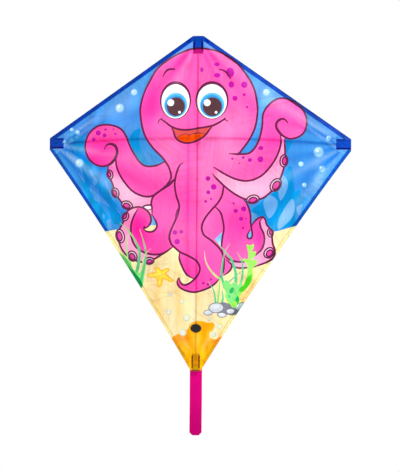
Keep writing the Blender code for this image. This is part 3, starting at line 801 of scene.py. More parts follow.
def shaded(colour, ink, x, z):
    """The print under painted shadows of the rods and painted shade and highlights of the cloth's folds."""
    tone = np.array(SHADE_TONES[family(ink)])
    # Painted shadows of the spine and spars, and painted shade on the crease, the folds and the dark
    # pleats.
    spine = bell(x, 1.9) * step(z, -540, -530) * step(-z, -200, -190)
    crease = bell(x - CREASE_X / MM, 4.2) * step(-z, -95, 10) * step(z, -400, -290)
    spar = bell(z - spar_line(x * MM) / MM, 2.0) * step(np.abs(x), 20, 46)
    fold = folds(x * MM, z * MM) * calm(x * MM, z * MM)
    slope = NOSE_HEIGHT / (HALF_WIDTH - NOSE_HALF)
    below_hem = ((HALF_WIDTH / MM - np.abs(x)) * slope - z) / hypot(1, slope)
    pleat_darkening = pleat_shading(x, below_hem, PLEAT_SHADE)
    share = 0.8 * spine + 0.5 * crease + 0.5 * spar + 0.85 * np.clip(fold, 0, 1.2) + 0.55 * pleat_darkening
    colour = colour * (1 - np.outer(np.clip(share, 0, 1), tone))
    # Painted highlights on the folds that stand forward and on the pale pleats.
    light = 0.30 * np.clip(-fold, 0, 1) + 0.22 * pleat_shading(x, below_hem, PLEAT_HIGHLIGHTS)
    return colour + (1 - colour) * np.clip(light, 0, 0.6)[:, None] * 0.5


def hem_zone(x, z):
    """Which points, in millimetres, lie in the upper hems, in the lower ones and on their sewn line."""
    over = np.array([b > upper_edge(a) - UPPER_HEM_DROP for a, b in zip(np.abs(x) * MM, z * MM)])
    above = np.array([b - lower_edge(a) for a, b in zip(np.abs(x) * MM, z * MM)])
    under = (above < LOWER_HEM_RISE) & ~over
    return over, under, under & (above > LOWER_HEM_RISE - HEM_LINE_WIDTH)


def dimmed(colour, inks, where, table):
    """The print under a table of tints, mostly painted shade, at the points that where picks."""
    for name in set(inks[where]):
        mine = where & (inks == name)
        colour[mine] = colour[mine] * np.array(table.get(family(name), table["plain"]))
    return colour


# ---- The printed sail ----

# How close the sail's inner points are, and those along its edge, in millimetres, how far the rows
# of inner points are apart as a share of that, and how many points the inner lines have.
GRID = 5.0
EDGE_STEP = 4.0
ROW_SHARE = 0.866
UPPER_POINTS = 100
LOWER_POINTS = 110
SPINE_POINTS = 200
SPAR_POINTS = 180

# How close a point of the grid may come to the print's lines, how near two points become one, in
# millimetres, and the least area of a triangle.
CLEAR = 2.5
MERGE = 0.02
LEAST_AREA = 1e-5

# Where the rods' painted shadows and the crease's painted shade change, to each side of them, in
# millimetres.
SPINE_LINES = (-4.2, -2.4, -1.1, 0, 1.1, 2.4, 4.2)
CREASE_LINES = (-27, -24, -22, -20, -17)
SPAR_LINES = (-4, -1.6, 0, 1.6, 4)

# How wide the painted shade along the sewn webbing's edges is, and how far it stays off the upright
# pockets' lower and upper ends, in millimetres.
NOSE_EDGE = 5.5
TAIL_EDGE = 3.4
TIP_EDGES = (4.5, 3.5)
EDGE_ENDS = (7, 4)

# Half the length of the seam across the sail's foot, and its height above the foot, in millimetres.
FOOT_SEAM_HALF = 10.4
FOOT_SEAM = (0.3, 2.4)


def sail_outline():
    """The cut of the sail, clockwise from the nose's middle, in millimetres."""
    def run(a, b):
        n = max(1, ceil(abs(b - a) / MM / EDGE_STEP))
        return [a + (b - a) * i / n for i in range(n)]
    side = [(x, upper_edge(x)) for x in run(0, NOSE_HALF) + run(NOSE_HALF, HALF_WIDTH)]
    side += [(HALF_WIDTH, TIP_LOW * i / 6) for i in range(6)]
    lower = run(HALF_WIDTH, FOOT_SHOULDER_HALF) + run(FOOT_SHOULDER_HALF, FOOT_HALF) + run(FOOT_HALF, 0)
    side += [(x, lower_edge(x)) for x in lower]
    left = [(-x, z) for x, z in side[1:]]
    return [(x / MM, z / MM) for x, z in side + [(0, -TAIL_DEPTH)] + left[::-1]]


def hem_lines():
    """Where the hems end on the cloth, in millimetres."""
    lines = []
    reach = HALF_WIDTH - UPPER_HEM_DROP * 0.25
    for side in (-1, 1):
        for edge, first, count, rise in (
            (upper_edge, NOSE_HALF, UPPER_POINTS, -UPPER_HEM_DROP),
            (lower_edge, FOOT_SHOULDER_HALF, LOWER_POINTS, LOWER_HEM_RISE),
            (lower_edge, FOOT_SHOULDER_HALF, LOWER_POINTS, LOWER_HEM_RISE - HEM_LINE_WIDTH),
        ):
            xs = np.linspace(first, reach, count)
            lines.append([(side * x / MM, (edge(x) + rise) / MM) for x in xs])
    return lines


def rod_lines():
    """Lines along the rods and creases, so that their painted shadows and shade can change across them."""
    heights = np.linspace(-TAIL_DEPTH, NOSE_HEIGHT, SPINE_POINTS) / MM
    lines = [[(x, z) for z in heights] for x in SPINE_LINES]
    lines += [[(x, z) for z in heights if -400 < z < 100] for x in CREASE_LINES]
    reach = np.linspace(-HALF_WIDTH, HALF_WIDTH, SPAR_POINTS)
    return lines + [[(x / MM, spar_line(x) / MM + off) for x in reach] for off in SPAR_LINES]


def box_zone(x0, x1, z0, z1):
    """The corners of a rectangle."""
    return [(x0, z0), (x1, z0), (x1, z1), (x0, z1)]


def front_of(node):
    """A node's reach to the left, right, bottom and top, in millimetres."""
    low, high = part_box(node)
    return [v / MM for v in (low.x, high.x, low.z, high.z)]


def sewn_zones():
    """Where webbing is sewn behind the cloth: the zone's outline and the painted shade it gives the print.
    The foot's seam gets a darker line.
    """
    zones = []
    for node, edge in (("nose_pocket", NOSE_EDGE), ("tail_pocket", TAIL_EDGE)):
        x0, x1, z0, z1 = front_of(node)
        zones.append((box_zone(x0, x1, z0, z1), SEWN))
        for a, b in ((x0, x0 + edge), (x1 - edge, x1)):
            zones.append((box_zone(a, b, z0 + EDGE_ENDS[0], z1 - EDGE_ENDS[1]), SEWN_EDGE))
    low, high = (h - TAIL_DEPTH / MM for h in FOOT_SEAM)
    zones.append((box_zone(-FOOT_SEAM_HALF, FOOT_SEAM_HALF, low, high), FOOT_LINE))
    for side in ("left", "right"):
        x0, x1, z0, z1 = front_of("wing_pocket_" + side)
        zones.append((box_zone(x0, x1, z0, z1), SEWN))
        zones.append((box_zone(x0, x1, z0, z0 + TIP_EDGES[0]), SEWN_EDGE))
        zones.append((box_zone(x0, x1, z1 - TIP_EDGES[1], z1), SEWN_EDGE))
    return zones


def within(outline, x, z):
    """Which points lie inside an outline, however it crosses itself."""
    p = np.asarray(outline, float)
    q = np.roll(p, -1, 0)
    low, high = p.min(0), p.max(0)
    near = np.flatnonzero((x >= low[0]) & (x <= high[0]) & (z >= low[1]) & (z <= high[1]))
    inside = np.zeros(len(x), bool)
    px, pz = x[near][:, None], z[near][:, None]
    left = (q[:, 0] - p[:, 0]) * (pz - p[:, 1]) - (px - p[:, 0]) * (q[:, 1] - p[:, 1])
    up = (p[:, 1] <= pz) & (q[:, 1] > pz) & (left > 0)
    down = (p[:, 1] > pz) & (q[:, 1] <= pz) & (left < 0)
    inside[near] = (up.sum(1) - down.sum(1)) != 0
    return inside


def cut_sail():
    """Cuts the sail along every line of the print: points and triangles in millimetres."""
    points, edges = [], []

    def add(line, closed):
        first = len(points)
        points.extend((float(a), float(b)) for a, b in line)
        edges.extend((first + i, first + i + 1) for i in range(len(line) - 1))
        if closed:
            edges.append((len(points) - 1, first))

    outline = sail_outline()
    add(outline, True)
    for line in hem_lines() + rod_lines():
        add(line, False)
    for shape, _ in sewn_zones() + layers:
        add(shape, True)
    taken = {(round(a / CLEAR), round(b / CLEAR)) for a, b in points}
    row = GRID * ROW_SHARE
    for j in range(int((NOSE_HEIGHT + TAIL_DEPTH) / MM / row) + 1):
        z = -TAIL_DEPTH / MM + j * row
        for i in range(int(-HALF_WIDTH / MM / GRID) - 1, int(HALF_WIDTH / MM / GRID) + 2):
            x = (i + 0.5 * (j % 2)) * GRID
            cell = (round(x / CLEAR), round(z / CLEAR))
            if not any((cell[0] + a, cell[1] + b) in taken for a in (-1, 0, 1) for b in (-1, 0, 1)):
                points.append((x, z))
    verts, _, faces, *_ = delaunay_2d_cdt([Vector(p) for p in points], edges, [], 0, MERGE)
    verts = np.array([tuple(v) for v in verts])
    faces = np.array([f for f in faces if len(f) == 3])
    middle = verts[faces].mean(1)
    a, b, c = verts[faces[:, 0]], verts[faces[:, 1]], verts[faces[:, 2]]
    area = ((b - a)[:, 0] * (c - a)[:, 1] - (b - a)[:, 1] * (c - a)[:, 0]) / 2
    keep = within(outline, middle[:, 0], middle[:, 1]) & (np.abs(area) > LEAST_AREA)
    faces[area < 0] = faces[area < 0][:, ::-1]
    return verts, faces[keep], middle[keep]


def ink_at(x, z):
    """The topmost ink of the print at points in millimetres."""
    ink = np.full(len(x), "water", dtype=object)
    for shape, name in layers:
        ink[within(shape, x, z)] = name
    return ink


def print_colours(verts, faces, middle):
    """A colour for each corner of each triangle: the print with its painted shade and highlights."""
    mx, mz = middle[:, 0], middle[:, 1]
    ink = ink_at(mx, mz)
    colour = np.zeros((len(faces), 3, 3))
    for name in sorted(set(ink)):
        found = np.flatnonzero(ink == name)
        corner = verts[faces[found]].reshape(-1, 2)
        tone = painted(name, corner[:, 0], corner[:, 1])
        tone = shaded(tone, name, corner[:, 0], corner[:, 1])
        colour[found] = tone.reshape(-1, 3, 3)
    over, under, line = hem_zone(mx, mz)
    dimmed(colour, ink, over, UPPER_HEM)
    dimmed(colour, ink, under, LOWER_HEM)
    dimmed(colour, ink, line, HEM_LINE)
    for outline, table in sewn_zones():
        dimmed(colour, ink, within(outline, mx, mz) & ~over, table)
    return colour


def hem_colours(points, table):
    """The print's colour on a hem under a table of painted shade, at points in metres."""
    x, z = np.array([p[0] for p in points]) / MM, np.array([p[2] for p in points]) / MM
    ink = ink_at(x, z)
    colour = np.zeros((len(x), 3))
    for name in sorted(set(ink)):
        found = np.flatnonzero(ink == name)
        colour[found] = painted(name, x[found], z[found])
    return dimmed(colour, ink, np.full(len(x), True), table)


def paint(obj, colour, domain="POINT"):
    """Gives a mesh the print attribute with its painted shade: a colour for each vertex or triangle corner.
    """
    attribute = obj.data.color_attributes.new("print", "FLOAT_COLOR", domain)
    rgba = np.concatenate([colour, np.ones(colour.shape[:-1] + (1,))], -1)
    attribute.data.foreach_set("color", rgba.astype(np.float32).ravel())


def new_object(name, verts, faces, material):
    """A smooth piece in the scene."""
    mesh = bpy.data.meshes.new(name)
    mesh.from_pydata([tuple(v) for v in verts], [], faces)
    mesh.polygons.foreach_set("use_smooth", [True] * len(mesh.polygons))
    mesh.materials.append(material)
    obj = bpy.data.objects.new(name, mesh)
    bpy.context.scene.collection.objects.link(obj)
    return obj


def build_sail(material):
    """The two printed halves of the sail."""
    verts, faces, middle = cut_sail()
    colour = print_colours(verts, faces, middle)
    halves = []
    for word, side in (("left", -1), ("right", 1)):
        mine = np.flatnonzero(middle[:, 0] * side > 0)
        used, index = np.unique(faces[mine], return_inverse=True)
        flat = verts[used] * MM
        flat[np.abs(flat[:, 0]) < MERGE * MM, 0] = 0
        bowed = np.stack([flat[:, 0], surface(flat[:, 0], flat[:, 1]), flat[:, 1]], 1)
        obj = new_object("sail_cloth_" + word, bowed.tolist(), index.reshape(-1, 3).tolist(), material)
        paint(obj, colour[mine], "CORNER")
        halves.append(obj)
    return halves


# ---- Materials ----

def rgba(colour, share=1.0, more=0.0):
    """An sRGB colour as a linear one with its alpha, made darker or lighter."""
    return (*np.minimum(linear(colour) * share + more, 1), 1.0)


class Nodes:
    """A small helper that adds linked nodes to a material."""

    def __init__(self, name):
        self.material = bpy.data.materials.new(name)
        self.material.use_nodes = True
        self.tree = self.material.node_tree
        self.tree.nodes.clear()
        self.output = self.tree.nodes.new("ShaderNodeOutputMaterial")
        self.place = self.add("ShaderNodeTexCoord").outputs["Object"]

    def add(self, kind, settings=None, **inputs):
        """A node with its settings, and with a value or a link on each named input."""
        node = self.tree.nodes.new(kind)
        for key, value in (settings or {}).items():
            setattr(node, key, value)
        for key, value in inputs.items():
            self.put(node.inputs[key.replace("_", " ")], value)
        return node

    def put(self, socket, value):
        if isinstance(value, bpy.types.NodeSocket):
            self.tree.links.new(value, socket)
        else:
            socket.default_value = value

    def maths(self, kind, a, b=0.0, clamp=False):
        node = self.add("ShaderNodeMath", {"operation": kind, "use_clamp": clamp})
        self.put(node.inputs[0], a)
        self.put(node.inputs[1], b)
        return node.outputs[0]

    def dye_and_shade(self, colour, attribute):
        """The colours of the print attribute with its painted shade, or one sRGB colour."""
        if attribute:
            return self.add("ShaderNodeAttribute", {"attribute_name": attribute}).outputs["Color"]
        return rgba(colour)

    def scaled(self, x, y, z, turn=0.0):
        """The place, turned by some degrees in the sail's plane and then scaled."""
        source = self.place
        if turn:
            turned = self.add("ShaderNodeMapping", Vector=source)
            turned.inputs["Rotation"].default_value = (0, radians(turn), 0)
            source = turned.outputs[0]
        node = self.add("ShaderNodeMapping", Vector=source)
        node.inputs["Scale"].default_value = (x, y, z)
        return node.outputs[0]

    def noise(self, vector, scale, detail=3.0, rough=0.55):
        node = self.add("ShaderNodeTexNoise", Vector=vector, Scale=scale, Detail=detail, Roughness=rough)
        return node.outputs["Fac"]

    def range(self, value, low, high, new_low, new_high):
        node = self.add("ShaderNodeMapRange", Value=value)
        for key, number in (("From Min", low), ("From Max", high), ("To Min", new_low),
                            ("To Max", new_high)):
            node.inputs[key].default_value = number
        return node.outputs[0]

    def mix(self, share, a, b, blend="MIX"):
        node = self.add("ShaderNodeMix", {"data_type": "RGBA", "blend_type": blend})
        self.put(node.inputs[0], share)
        self.put(node.inputs[6], a)
        self.put(node.inputs[7], b)
        return node.outputs[2]

    def grey(self, value):
        node = self.add("ShaderNodeCombineColor")
        for i in range(3):
            self.put(node.inputs[i], value)
        return node.outputs[0]

    def bump(self, height, distance, strength=1.0, normal=None):
        node = self.add("ShaderNodeBump", Height=height, Distance=distance, Strength=strength)
        if normal is not None:
            self.put(node.inputs["Normal"], normal)
        return node.outputs[0]

    def weave(self, vector, pitch):
        """Plain weave: threads along both axes pass over and under each other by turns."""
        parts = self.add("ShaderNodeSeparateXYZ", Vector=vector)
        turn = pi / pitch
        warp = self.maths("SINE", self.maths("MULTIPLY", parts.outputs[0], turn))
        weft = self.maths("SINE", self.maths("MULTIPLY", parts.outputs[2], turn))
        return self.range(self.maths("MULTIPLY", warp, weft), -1, 1, 0, 1)

    def wrinkles(self):
        """Narrow creases in three directions that come and go, from 0 to 1."""
        total = 0.0
        for turn, along, across in ((8, 6.0, 40.0), (-38, 8.0, 52.0), (78, 6.0, 60.0)):
            field = self.noise(self.scaled(along, along, across, turn), 1.0, 1.5, 0.4)
            away = self.maths("ABSOLUTE", self.maths("SUBTRACT", field, 0.5))
            line = self.range(away, 0.0, 0.05, 1.0, 0.0)
            patches = self.noise(self.scaled(1, 1, 1, turn), 11.0, 1.0)
            line = self.maths("MULTIPLY", line, self.range(patches, 0.48, 0.64, 0, 1))
            total = self.maths("ADD", line, total)
        return self.maths("MULTIPLY", total, 0.8, True)

    def finish(self, shader):
        self.tree.links.new(shader, self.output.inputs["Surface"])
        return self.material


def cloth_material(name, through, shine, colour=None, attribute=None, pitch=0.00042, darker_below=None,
                   crease_shade=0.0):
    """Thin woven polyester that lets some light through, dyed in one colour or printed. Given two heights,
    it is darker towards the lower one. Creases can get painted shade and light and a bump."""
    n = Nodes(name)
    base = n.dye_and_shade(colour, attribute)
    weave = n.weave(n.place, pitch)
    streaks = n.noise(n.scaled(150, 150, 7), 1.0, 4.0)
    clouds = n.noise(n.place, 24.0, 4.0)
    grain = n.noise(n.place, 420.0, 2.0)
    dye_and_shade = n.maths("MULTIPLY", n.range(streaks, 0.3, 0.7, 0.93, 1.05),
                  n.range(clouds, 0.3, 0.7, 0.93, 1.05))
    dye_and_shade = n.maths("MULTIPLY", dye_and_shade, n.range(grain, 0.3, 0.7, 0.96, 1.03))
    dye_and_shade = n.maths("MULTIPLY", dye_and_shade, n.range(weave, 0, 1, 0.93, 1.04))
    # Painted shade along narrow creases, and a little painted light on the cloth between them.
    if crease_shade:
        wrinkles = n.wrinkles()
        dye_and_shade = n.maths("MULTIPLY", dye_and_shade, n.range(wrinkles, 0.0, 1.0, 1 + 0.5 * crease_shade, 1 - crease_shade))
    # Darker towards the lower of two heights.
    if darker_below:
        height = n.add("ShaderNodeSeparateXYZ", Vector=n.place).outputs[2]
        dye_and_shade = n.maths("MULTIPLY", dye_and_shade, n.range(height, *darker_below, 0.74, 1.04))
    colour_out = n.mix(1.0, base, n.grey(dye_and_shade), "MULTIPLY")
    rough = n.range(clouds, 0.3, 0.7, 0.37, 0.51)
    normal = n.bump(weave, 0.00006, 0.7)
    normal = n.bump(n.noise(n.place, 90.0, 3.0), 0.0005, 0.5, normal)
    if crease_shade:
        normal = n.bump(wrinkles, 0.0012, 0.6, normal)
    skin = n.add("ShaderNodeBsdfPrincipled", Base_Color=colour_out, Roughness=rough, Normal=normal,
                 Sheen_Weight=0.2 * shine, Sheen_Roughness=0.45, Specular_IOR_Level=shine)
    glow = n.add("ShaderNodeBsdfTranslucent", Color=colour_out, Normal=normal)
    both = n.add("ShaderNodeMixShader", Fac=through)
    n.tree.links.new(skin.outputs[0], both.inputs[1])
    n.tree.links.new(glow.outputs[0], both.inputs[2])
    return n.finish(both.outputs[0])


def webbing_material(name, colour):
    """Flat woven webbing: coarse ribs across it, with painted highlights where they stand proud and
    painted shade between them, patchy with wear.
    """
    n = Nodes(name)
    weave = n.weave(n.place, 0.0011)
    fuzz = n.noise(n.place, 900.0, 4.0)
    wear_and_highlight = n.noise(n.place, 60.0, 5.0)
    share = n.maths("MULTIPLY", n.range(weave, 0.1, 0.9, 0.1, 0.9), n.range(wear_and_highlight, 0.3, 0.7, 0.6, 1.1), True)
    # A painted shade and a painted highlight copy of the colour, mixed by the ribs and the patches.
    colour_out = n.mix(share, rgba(colour, 0.55), rgba(colour, 1.5, 0.006))
    rough = n.range(fuzz, 0.3, 0.7, 0.7, 0.9)
    normal = n.bump(weave, 0.00035, 0.8)
    normal = n.bump(fuzz, 0.0001, 0.6, normal)
    skin = n.add("ShaderNodeBsdfPrincipled", Base_Color=colour_out, Roughness=rough, Normal=normal,
                 Sheen_Weight=0.3, Sheen_Roughness=0.4)
    return n.finish(skin.outputs[0])


def plastic_material(name, colour, rough=0.5, stretch=(1, 1, 1), grain=260.0, depth=0.00012, coat=0.0):
    """Moulded or pultruded plastic with fine grain and lighter, dusty handling marks."""
    n = Nodes(name)
    fine = n.noise(n.scaled(*stretch), grain, 5.0)
    marks = n.noise(n.place, 45.0, 6.0, 0.7)
    colour_out = n.mix(n.range(marks, 0.45, 0.75, 0.0, 0.5), rgba(colour), rgba(colour, 2.2, 0.02))
    colour_out = n.mix(n.range(fine, 0.35, 0.7, 0.0, 0.35), colour_out, rgba(colour, 0.5))
    roughness = n.range(marks, 0.3, 0.7, rough - 0.12, rough + 0.15)
    normal = n.bump(fine, depth, 0.6)
    skin = n.add("ShaderNodeBsdfPrincipled", Base_Color=colour_out, Roughness=roughness, Normal=normal,
                 Coat_Weight=coat, Coat_Roughness=0.25)
    return n.finish(skin.outputs[0])


def thread_material(name, colour=None, attribute=None):
    """Twisted polyester thread, in one colour or matched to the print it holds."""
    n = Nodes(name)
    base = n.dye_and_shade(colour, attribute)
    twist = n.add("ShaderNodeTexWave", {"bands_direction": "DIAGONAL"}, Vector=n.place, Scale=1400.0)
    fuzz = n.noise(n.place, 1500.0, 3.0)
    shade = n.grey(n.range(twist.outputs["Fac"], 0, 1, 0.7, 1.25))
    colour_out = n.mix(1.0, base, shade, "MULTIPLY")
    normal = n.bump(twist.outputs["Fac"], 0.00006, 0.7)
    rough = n.range(fuzz, 0.3, 0.7, 0.45, 0.65)
    skin = n.add("ShaderNodeBsdfPrincipled", Base_Color=colour_out, Roughness=rough, Normal=normal,
                 Sheen_Weight=0.2, Sheen_Roughness=0.4)
    return n.finish(skin.outputs[0])


# ---- Sewn pieces ----

# How close the hem's sections are, how far its front and its back lie behind the cloth and how far
# its fold stands proud of the cloth's cut, in metres.
HEM_STEP = 0.004
HEM_FRONT = 0.00018
HEM_BACK = 0.00078
FOLD_PROUD = 0.00035

# The folded hem's section, round at the fold and thin where it is sewn down: a share of the way from
# the fold to the sewn line, then how far out from there and how far back it lies.
HEM_SECTION = (
    (0, -0.0005, -0.00030), (0, 0.7 * FOLD_PROUD, -0.00022), (0, FOLD_PROUD, 0.00020),
    (0, 0.5 * FOLD_PROUD, HEM_BACK), (0, -0.0020, HEM_BACK + 0.00012), (0.5, 0, HEM_BACK),
    (1, 0.0012, HEM_BACK - 0.00012), (1, 0, HEM_FRONT + 0.0002), (1, 0.0004, HEM_FRONT),
    (0, -0.0020, HEM_FRONT),
)

# Where the hems start and end, how steep their mitre at the wing tip is and where it meets the tip.
UPPER_HEM_START = 0.0128
LOWER_HEM_START = FOOT_SHOULDER_HALF + 0.0004
HEM_END = HALF_WIDTH - 0.0006
MITRE = 0.5
UPPER_MITRE = -0.0125
LOWER_MITRE = -0.0150

# How far across a hem its seam runs, and how far the stitches stand in front of a hem and a pocket.
SEAM_SHARE = 0.84
HEM_LIFT = -0.0001
POCKET_LIFT = -0.00012

# How far in from a pocket's sides its two rows of stitches run, in metres.
WING_POCKET_ROWS = (0.0016, 0.0048)
NOSE_POCKET_ROWS = (0.0018, 0.0050)
TAIL_POCKET_ROWS = (0.0016, 0.0040)

# The zigzag across the foot: the length of its steps, their height and the thread's width. The seam
# of the patch hardly stands in front of it. All in metres.
ZIGZAG_STEP = 0.0018
ZIGZAG_RISE = 0.0016
ZIGZAG_WIDTH = 0.0006
PATCH_LIFT = -0.00002

# A stitch's rise: shares of its length, and its thickness there. The thread has six sides.
STITCH = ((0, 0.25), (0.18, 0.9), (0.5, 1.0), (0.82, 0.9), (1, 0.25))
THREAD_SIDES = 6
STITCH_HEIGHT = 0.00022


def loft(rings):
    """A closed tube through rings of as many points each."""
    n = len(rings[0])
    last = (len(rings) - 1) * n
    faces = [(i + j, i + (j + 1) % n, i + n + (j + 1) % n, i + n + j)
             for i in range(0, last, n) for j in range(n)]
    faces += [tuple(range(n))[::-1], tuple(range(last, last + n))]
    return [p for ring in rings for p in ring], faces


def on_sail(x, z, back):
    """A point a little behind (over 0) or in front of (under 0) the cloth."""
    y = surface(np.array([x]), np.array([z]))[0]
    return (x, float(y) + back, z)


def hem_section(edge, inner):
    """The folded hem's outline between a point of the cloth's edge and one of its sewn line."""
    (ex, ez), (ix, iz) = edge, inner
    dx, dz = ex - ix, ez - iz
    size = hypot(dx, dz)
    return [on_sail(ex - dx * share + dx / size * out, ez - dz * share + dz / size * out, back)
            for share, out, back in HEM_SECTION]


def hem_run(side, upper):
    """Pairs of (edge point, inner point) along one hem, from the spine out."""
    pairs = []
    first = UPPER_HEM_START if upper else LOWER_HEM_START
    n = ceil((HEM_END - first) / HEM_STEP)
    for i in range(n + 1):
        x = first + (HEM_END - first) * i / n
        if upper:
            edge = upper_edge(x)
            inner = max(edge - UPPER_HEM_DROP, UPPER_MITRE - MITRE * (HALF_WIDTH - x))
        else:
            edge = lower_edge(x)
            inner = min(edge + LOWER_HEM_RISE, LOWER_MITRE + MITRE * (HALF_WIDTH - x))
        pairs.append(((side * x, edge), (side * x, inner)))
    return pairs


def build_hem(name, side, upper, material):
    """One folded hem, with the print of the cloth it is folded from."""
    verts, faces = loft([hem_section(*pair) for pair in hem_run(side, upper)])
    obj = new_object(name, verts, faces, material)
    paint(obj, hem_colours(verts, UPPER_HEM if upper else LOWER_HEM))
    return obj


def stitch_row(points, lift, length=0.0026, gap=0.0013, width=0.00042, level=None):
    """Short arched stitches along a line of (x, z) points, on the front (lift under 0) or the back of
    the cloth, or of something flat at a level of its own."""
    p = np.array(points)
    s = distances(p)
    tubes = []
    at = gap
    while at + length < s[-1]:
        (ax, az), (bx, bz) = [(np.interp(d, s, p[:, 0]), np.interp(d, s, p[:, 1]))
                              for d in (at, at + length)]
        way = Vector((bx - ax, bz - az)).normalized()
        rings = []
        for t, swell in STITCH:
            x, z = ax + (bx - ax) * t, az + (bz - az) * t
            y = on_sail(x, z, 0)[1] if level is None else level
            ring = []
            for i in range(THREAD_SIDES):
                a = 2 * pi * i / THREAD_SIDES
                off = cos(a) * width / 2 * swell
                rise = (sin(a) * 0.5 + 0.4) * STITCH_HEIGHT * swell
                ring.append((x - way.y * off, y + lift + (rise if lift > 0 else -rise), z + way.x * off))
            rings.append(ring if lift < 0 else ring[::-1])
        tubes.append(loft(rings))
        at += length + gap
    return join(tubes)


def join(parts):
    """Several pairs of points and faces as one."""
    verts, faces = [], []
    for v, f in parts:
        faces += [tuple(i + len(verts) for i in face) for face in f]
        verts += v
    return verts, faces


def sewn(name, rows, thread):
    """One piece from rows of stitches."""
    return new_object(name, *join(rows), thread)


def hem_seam(name, side, upper, thread):
    """Stitches along one hem, on both faces of the cloth, in the print's colours with the hem's painted
    shade.
    """
    line = offset_line(hem_run(side, upper), SEAM_SHARE)
    verts, faces = join([stitch_row(line, HEM_LIFT), stitch_row(line, HEM_BACK)])
    obj = new_object(name, verts, faces, thread)
    paint(obj, hem_colours(verts, UPPER_HEM) if upper else hem_colours(verts, LOWER_HEM) * THREAD_TONE)
    return obj


def offset_line(pairs, share):
    """The line at a share of the way across a hem."""
    return [(e[0] + (i[0] - e[0]) * share, e[1] + (i[1] - e[1]) * share) for e, i in pairs]


def outline_of(node, inset):
    """The corners of a node's front, drawn in by an inset, as (x, z) points along a closed line."""
    low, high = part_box(node)
    x0, x1, z0, z1 = low.x + inset, high.x - inset, low.z + inset, high.z - inset
    return [(x0, z0), (x1, z0), (x1, z1), (x0, z1), (x0, z0)]


def dense(points, spacing=0.0012):
    """The same line with points close together."""
    found = []
    for (ax, az), (bx, bz) in zip(points, points[1:]):
        n = max(1, ceil(hypot(bx - ax, bz - az) / spacing))
        found += [(ax + (bx - ax) * i / n, az + (bz - az) * i / n) for i in range(n)]
    return found + [points[-1]]


# ---- The ribbon tail ----

# Sizes that the CAD gives, then the cut of the ribbon's foot, where the ribbon is sewn to the sail
# and how close its points are along it, in metres.
RIBBON_LOW, RIBBON_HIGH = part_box("tail_ribbon_upper")
TAB_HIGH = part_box("tail_ribbon_tab")[1]
RIBBON_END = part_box("tail_ribbon_lower")[0].z
RIBBON_HALF = (RIBBON_HIGH.x - RIBBON_LOW.x) / 2
RIBBON_Y = (RIBBON_HIGH.y + RIBBON_LOW.y) / 2
RIBBON_JOINTS = [j["pos_m"][2] for j in frame["joints"] if j["name"].startswith("tail_")]
RIBBON_CHAMFER = 0.007
RIBBON_SEWN = 0.001 - TAIL_DEPTH
RIBBON_STEP = 0.003

# The two rows of stitches on the tab: how far below its end they run, the share of its width that
# they cross and how far behind the ribbon they start, in metres.
TAB_ROWS = (0.0025, 0.0065)
TAB_REACH = 0.92
TAB_BEHIND = 0.0009
TAB_LIFT = 0.0004

# Where the ribbon's points are across it, close together at its woven edges.
HALF_ACROSS = (0.25, 0.5, 0.75, 0.90, 0.93, 0.96, 0.985, 1)
RIBBON_ACROSS = tuple(-u for u in HALF_ACROSS[::-1]) + (0,) + HALF_ACROSS


def ribbon_point(u, z):
    """A point of the ribbon: u is from -1 to 1 across it. It sways, is a little cupped, and its
    woven edges stand proud."""
    free = min(max((RIBBON_SEWN - z) / 0.03, 0), 1)
    sway = free * (0.0010 * sin(38 * z + 0.5) + 0.0004 * sin(97 * z))
    cup = 0.0011 * u * u
    edge = 0.00022 * exp(-((abs(u) - 0.96) / 0.022) ** 2)
    narrow = 1 - 0.004 * (0.5 + 0.5 * sin(55 * z + 1.0))
    return (u * RIBBON_HALF * narrow, RIBBON_Y + sway + cup - edge, z)


def build_ribbon(name, top, foot, material, chamfer=0.0):
    """A length of the ribbon, with its foot's corners cut where there is a chamfer."""
    rows = max(2, ceil((top - foot) / RIBBON_STEP))
    verts, faces = [], []
    for i in range(rows + 1):
        for u in RIBBON_ACROSS:
            x, y, z = ribbon_point(u, top + (foot - top) * i / rows)
            if chamfer:
                z = max(z, foot + max(0.0, abs(x) - (RIBBON_HALF - chamfer)))
            verts.append((x, y, z))
    m = len(RIBBON_ACROSS)
    for i in range(rows):
        for j in range(m - 1):
            a = i * m + j
            faces.append((a, a + m, a + m + 1, a + 1))
    return new_object(name, verts, faces, material)


# ---- Assembly ----

def bend(obj):
    """Bakes the piece's place in the scene into its mesh."""
    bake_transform(obj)


def dress_nodes():
    """Materials for the CAD pieces that stay."""
    rod, spar = (1, 1, 0.02), (0.02, 1, 1)
    for look, names in (
        (webbing_material("webbing_weave", (20, 40, 120)),
         ("nose_pocket", "wing_pocket_left", "wing_pocket_right")),
        (webbing_material("tail_webbing_weave", (176, 112, 40)), ("tail_pocket",)),
        (plastic_material("fibreglass", (34, 34, 40), 0.36, rod, 900.0, 0.00005, 0.3), ("spine_rod",)),
        (plastic_material("fibreglass_spar", (34, 34, 40), 0.36, spar, 900.0, 0.00005, 0.3),
         ("spar_left", "spar_right")),
        (plastic_material("vinyl_cap", (16, 16, 18), 0.45),
         ("spine_nose_cap", "spine_tail_cap", "spar_cap_left", "spar_cap_right")),
        (plastic_material("soft_fitting", (14, 14, 15), 0.62, grain=420.0, depth=0.0002),
         ("cross_fitting", "cross_arm_left", "cross_arm_right")),
        (plastic_material("vinyl_patch", (5, 5, 6), 0.46, grain=300.0, depth=0.00015), ("front_patch",)),
    ):
        for name in names:
            node = frame["nodes"][name]
            node.data.materials.clear()
            node.data.materials.append(look)


# The patch's rim: its points around the patch and around itself, half its width as a share of the
# patch, and its half width and half height in metres. Then the share at which the stitches run.
PATCH_POINTS = 120
PATCH_SIDES = 10
PATCH_RIM = 0.055
RIM_REACH = 0.0009
RIM_RISE = 0.0004
PATCH_SEAM = 0.78


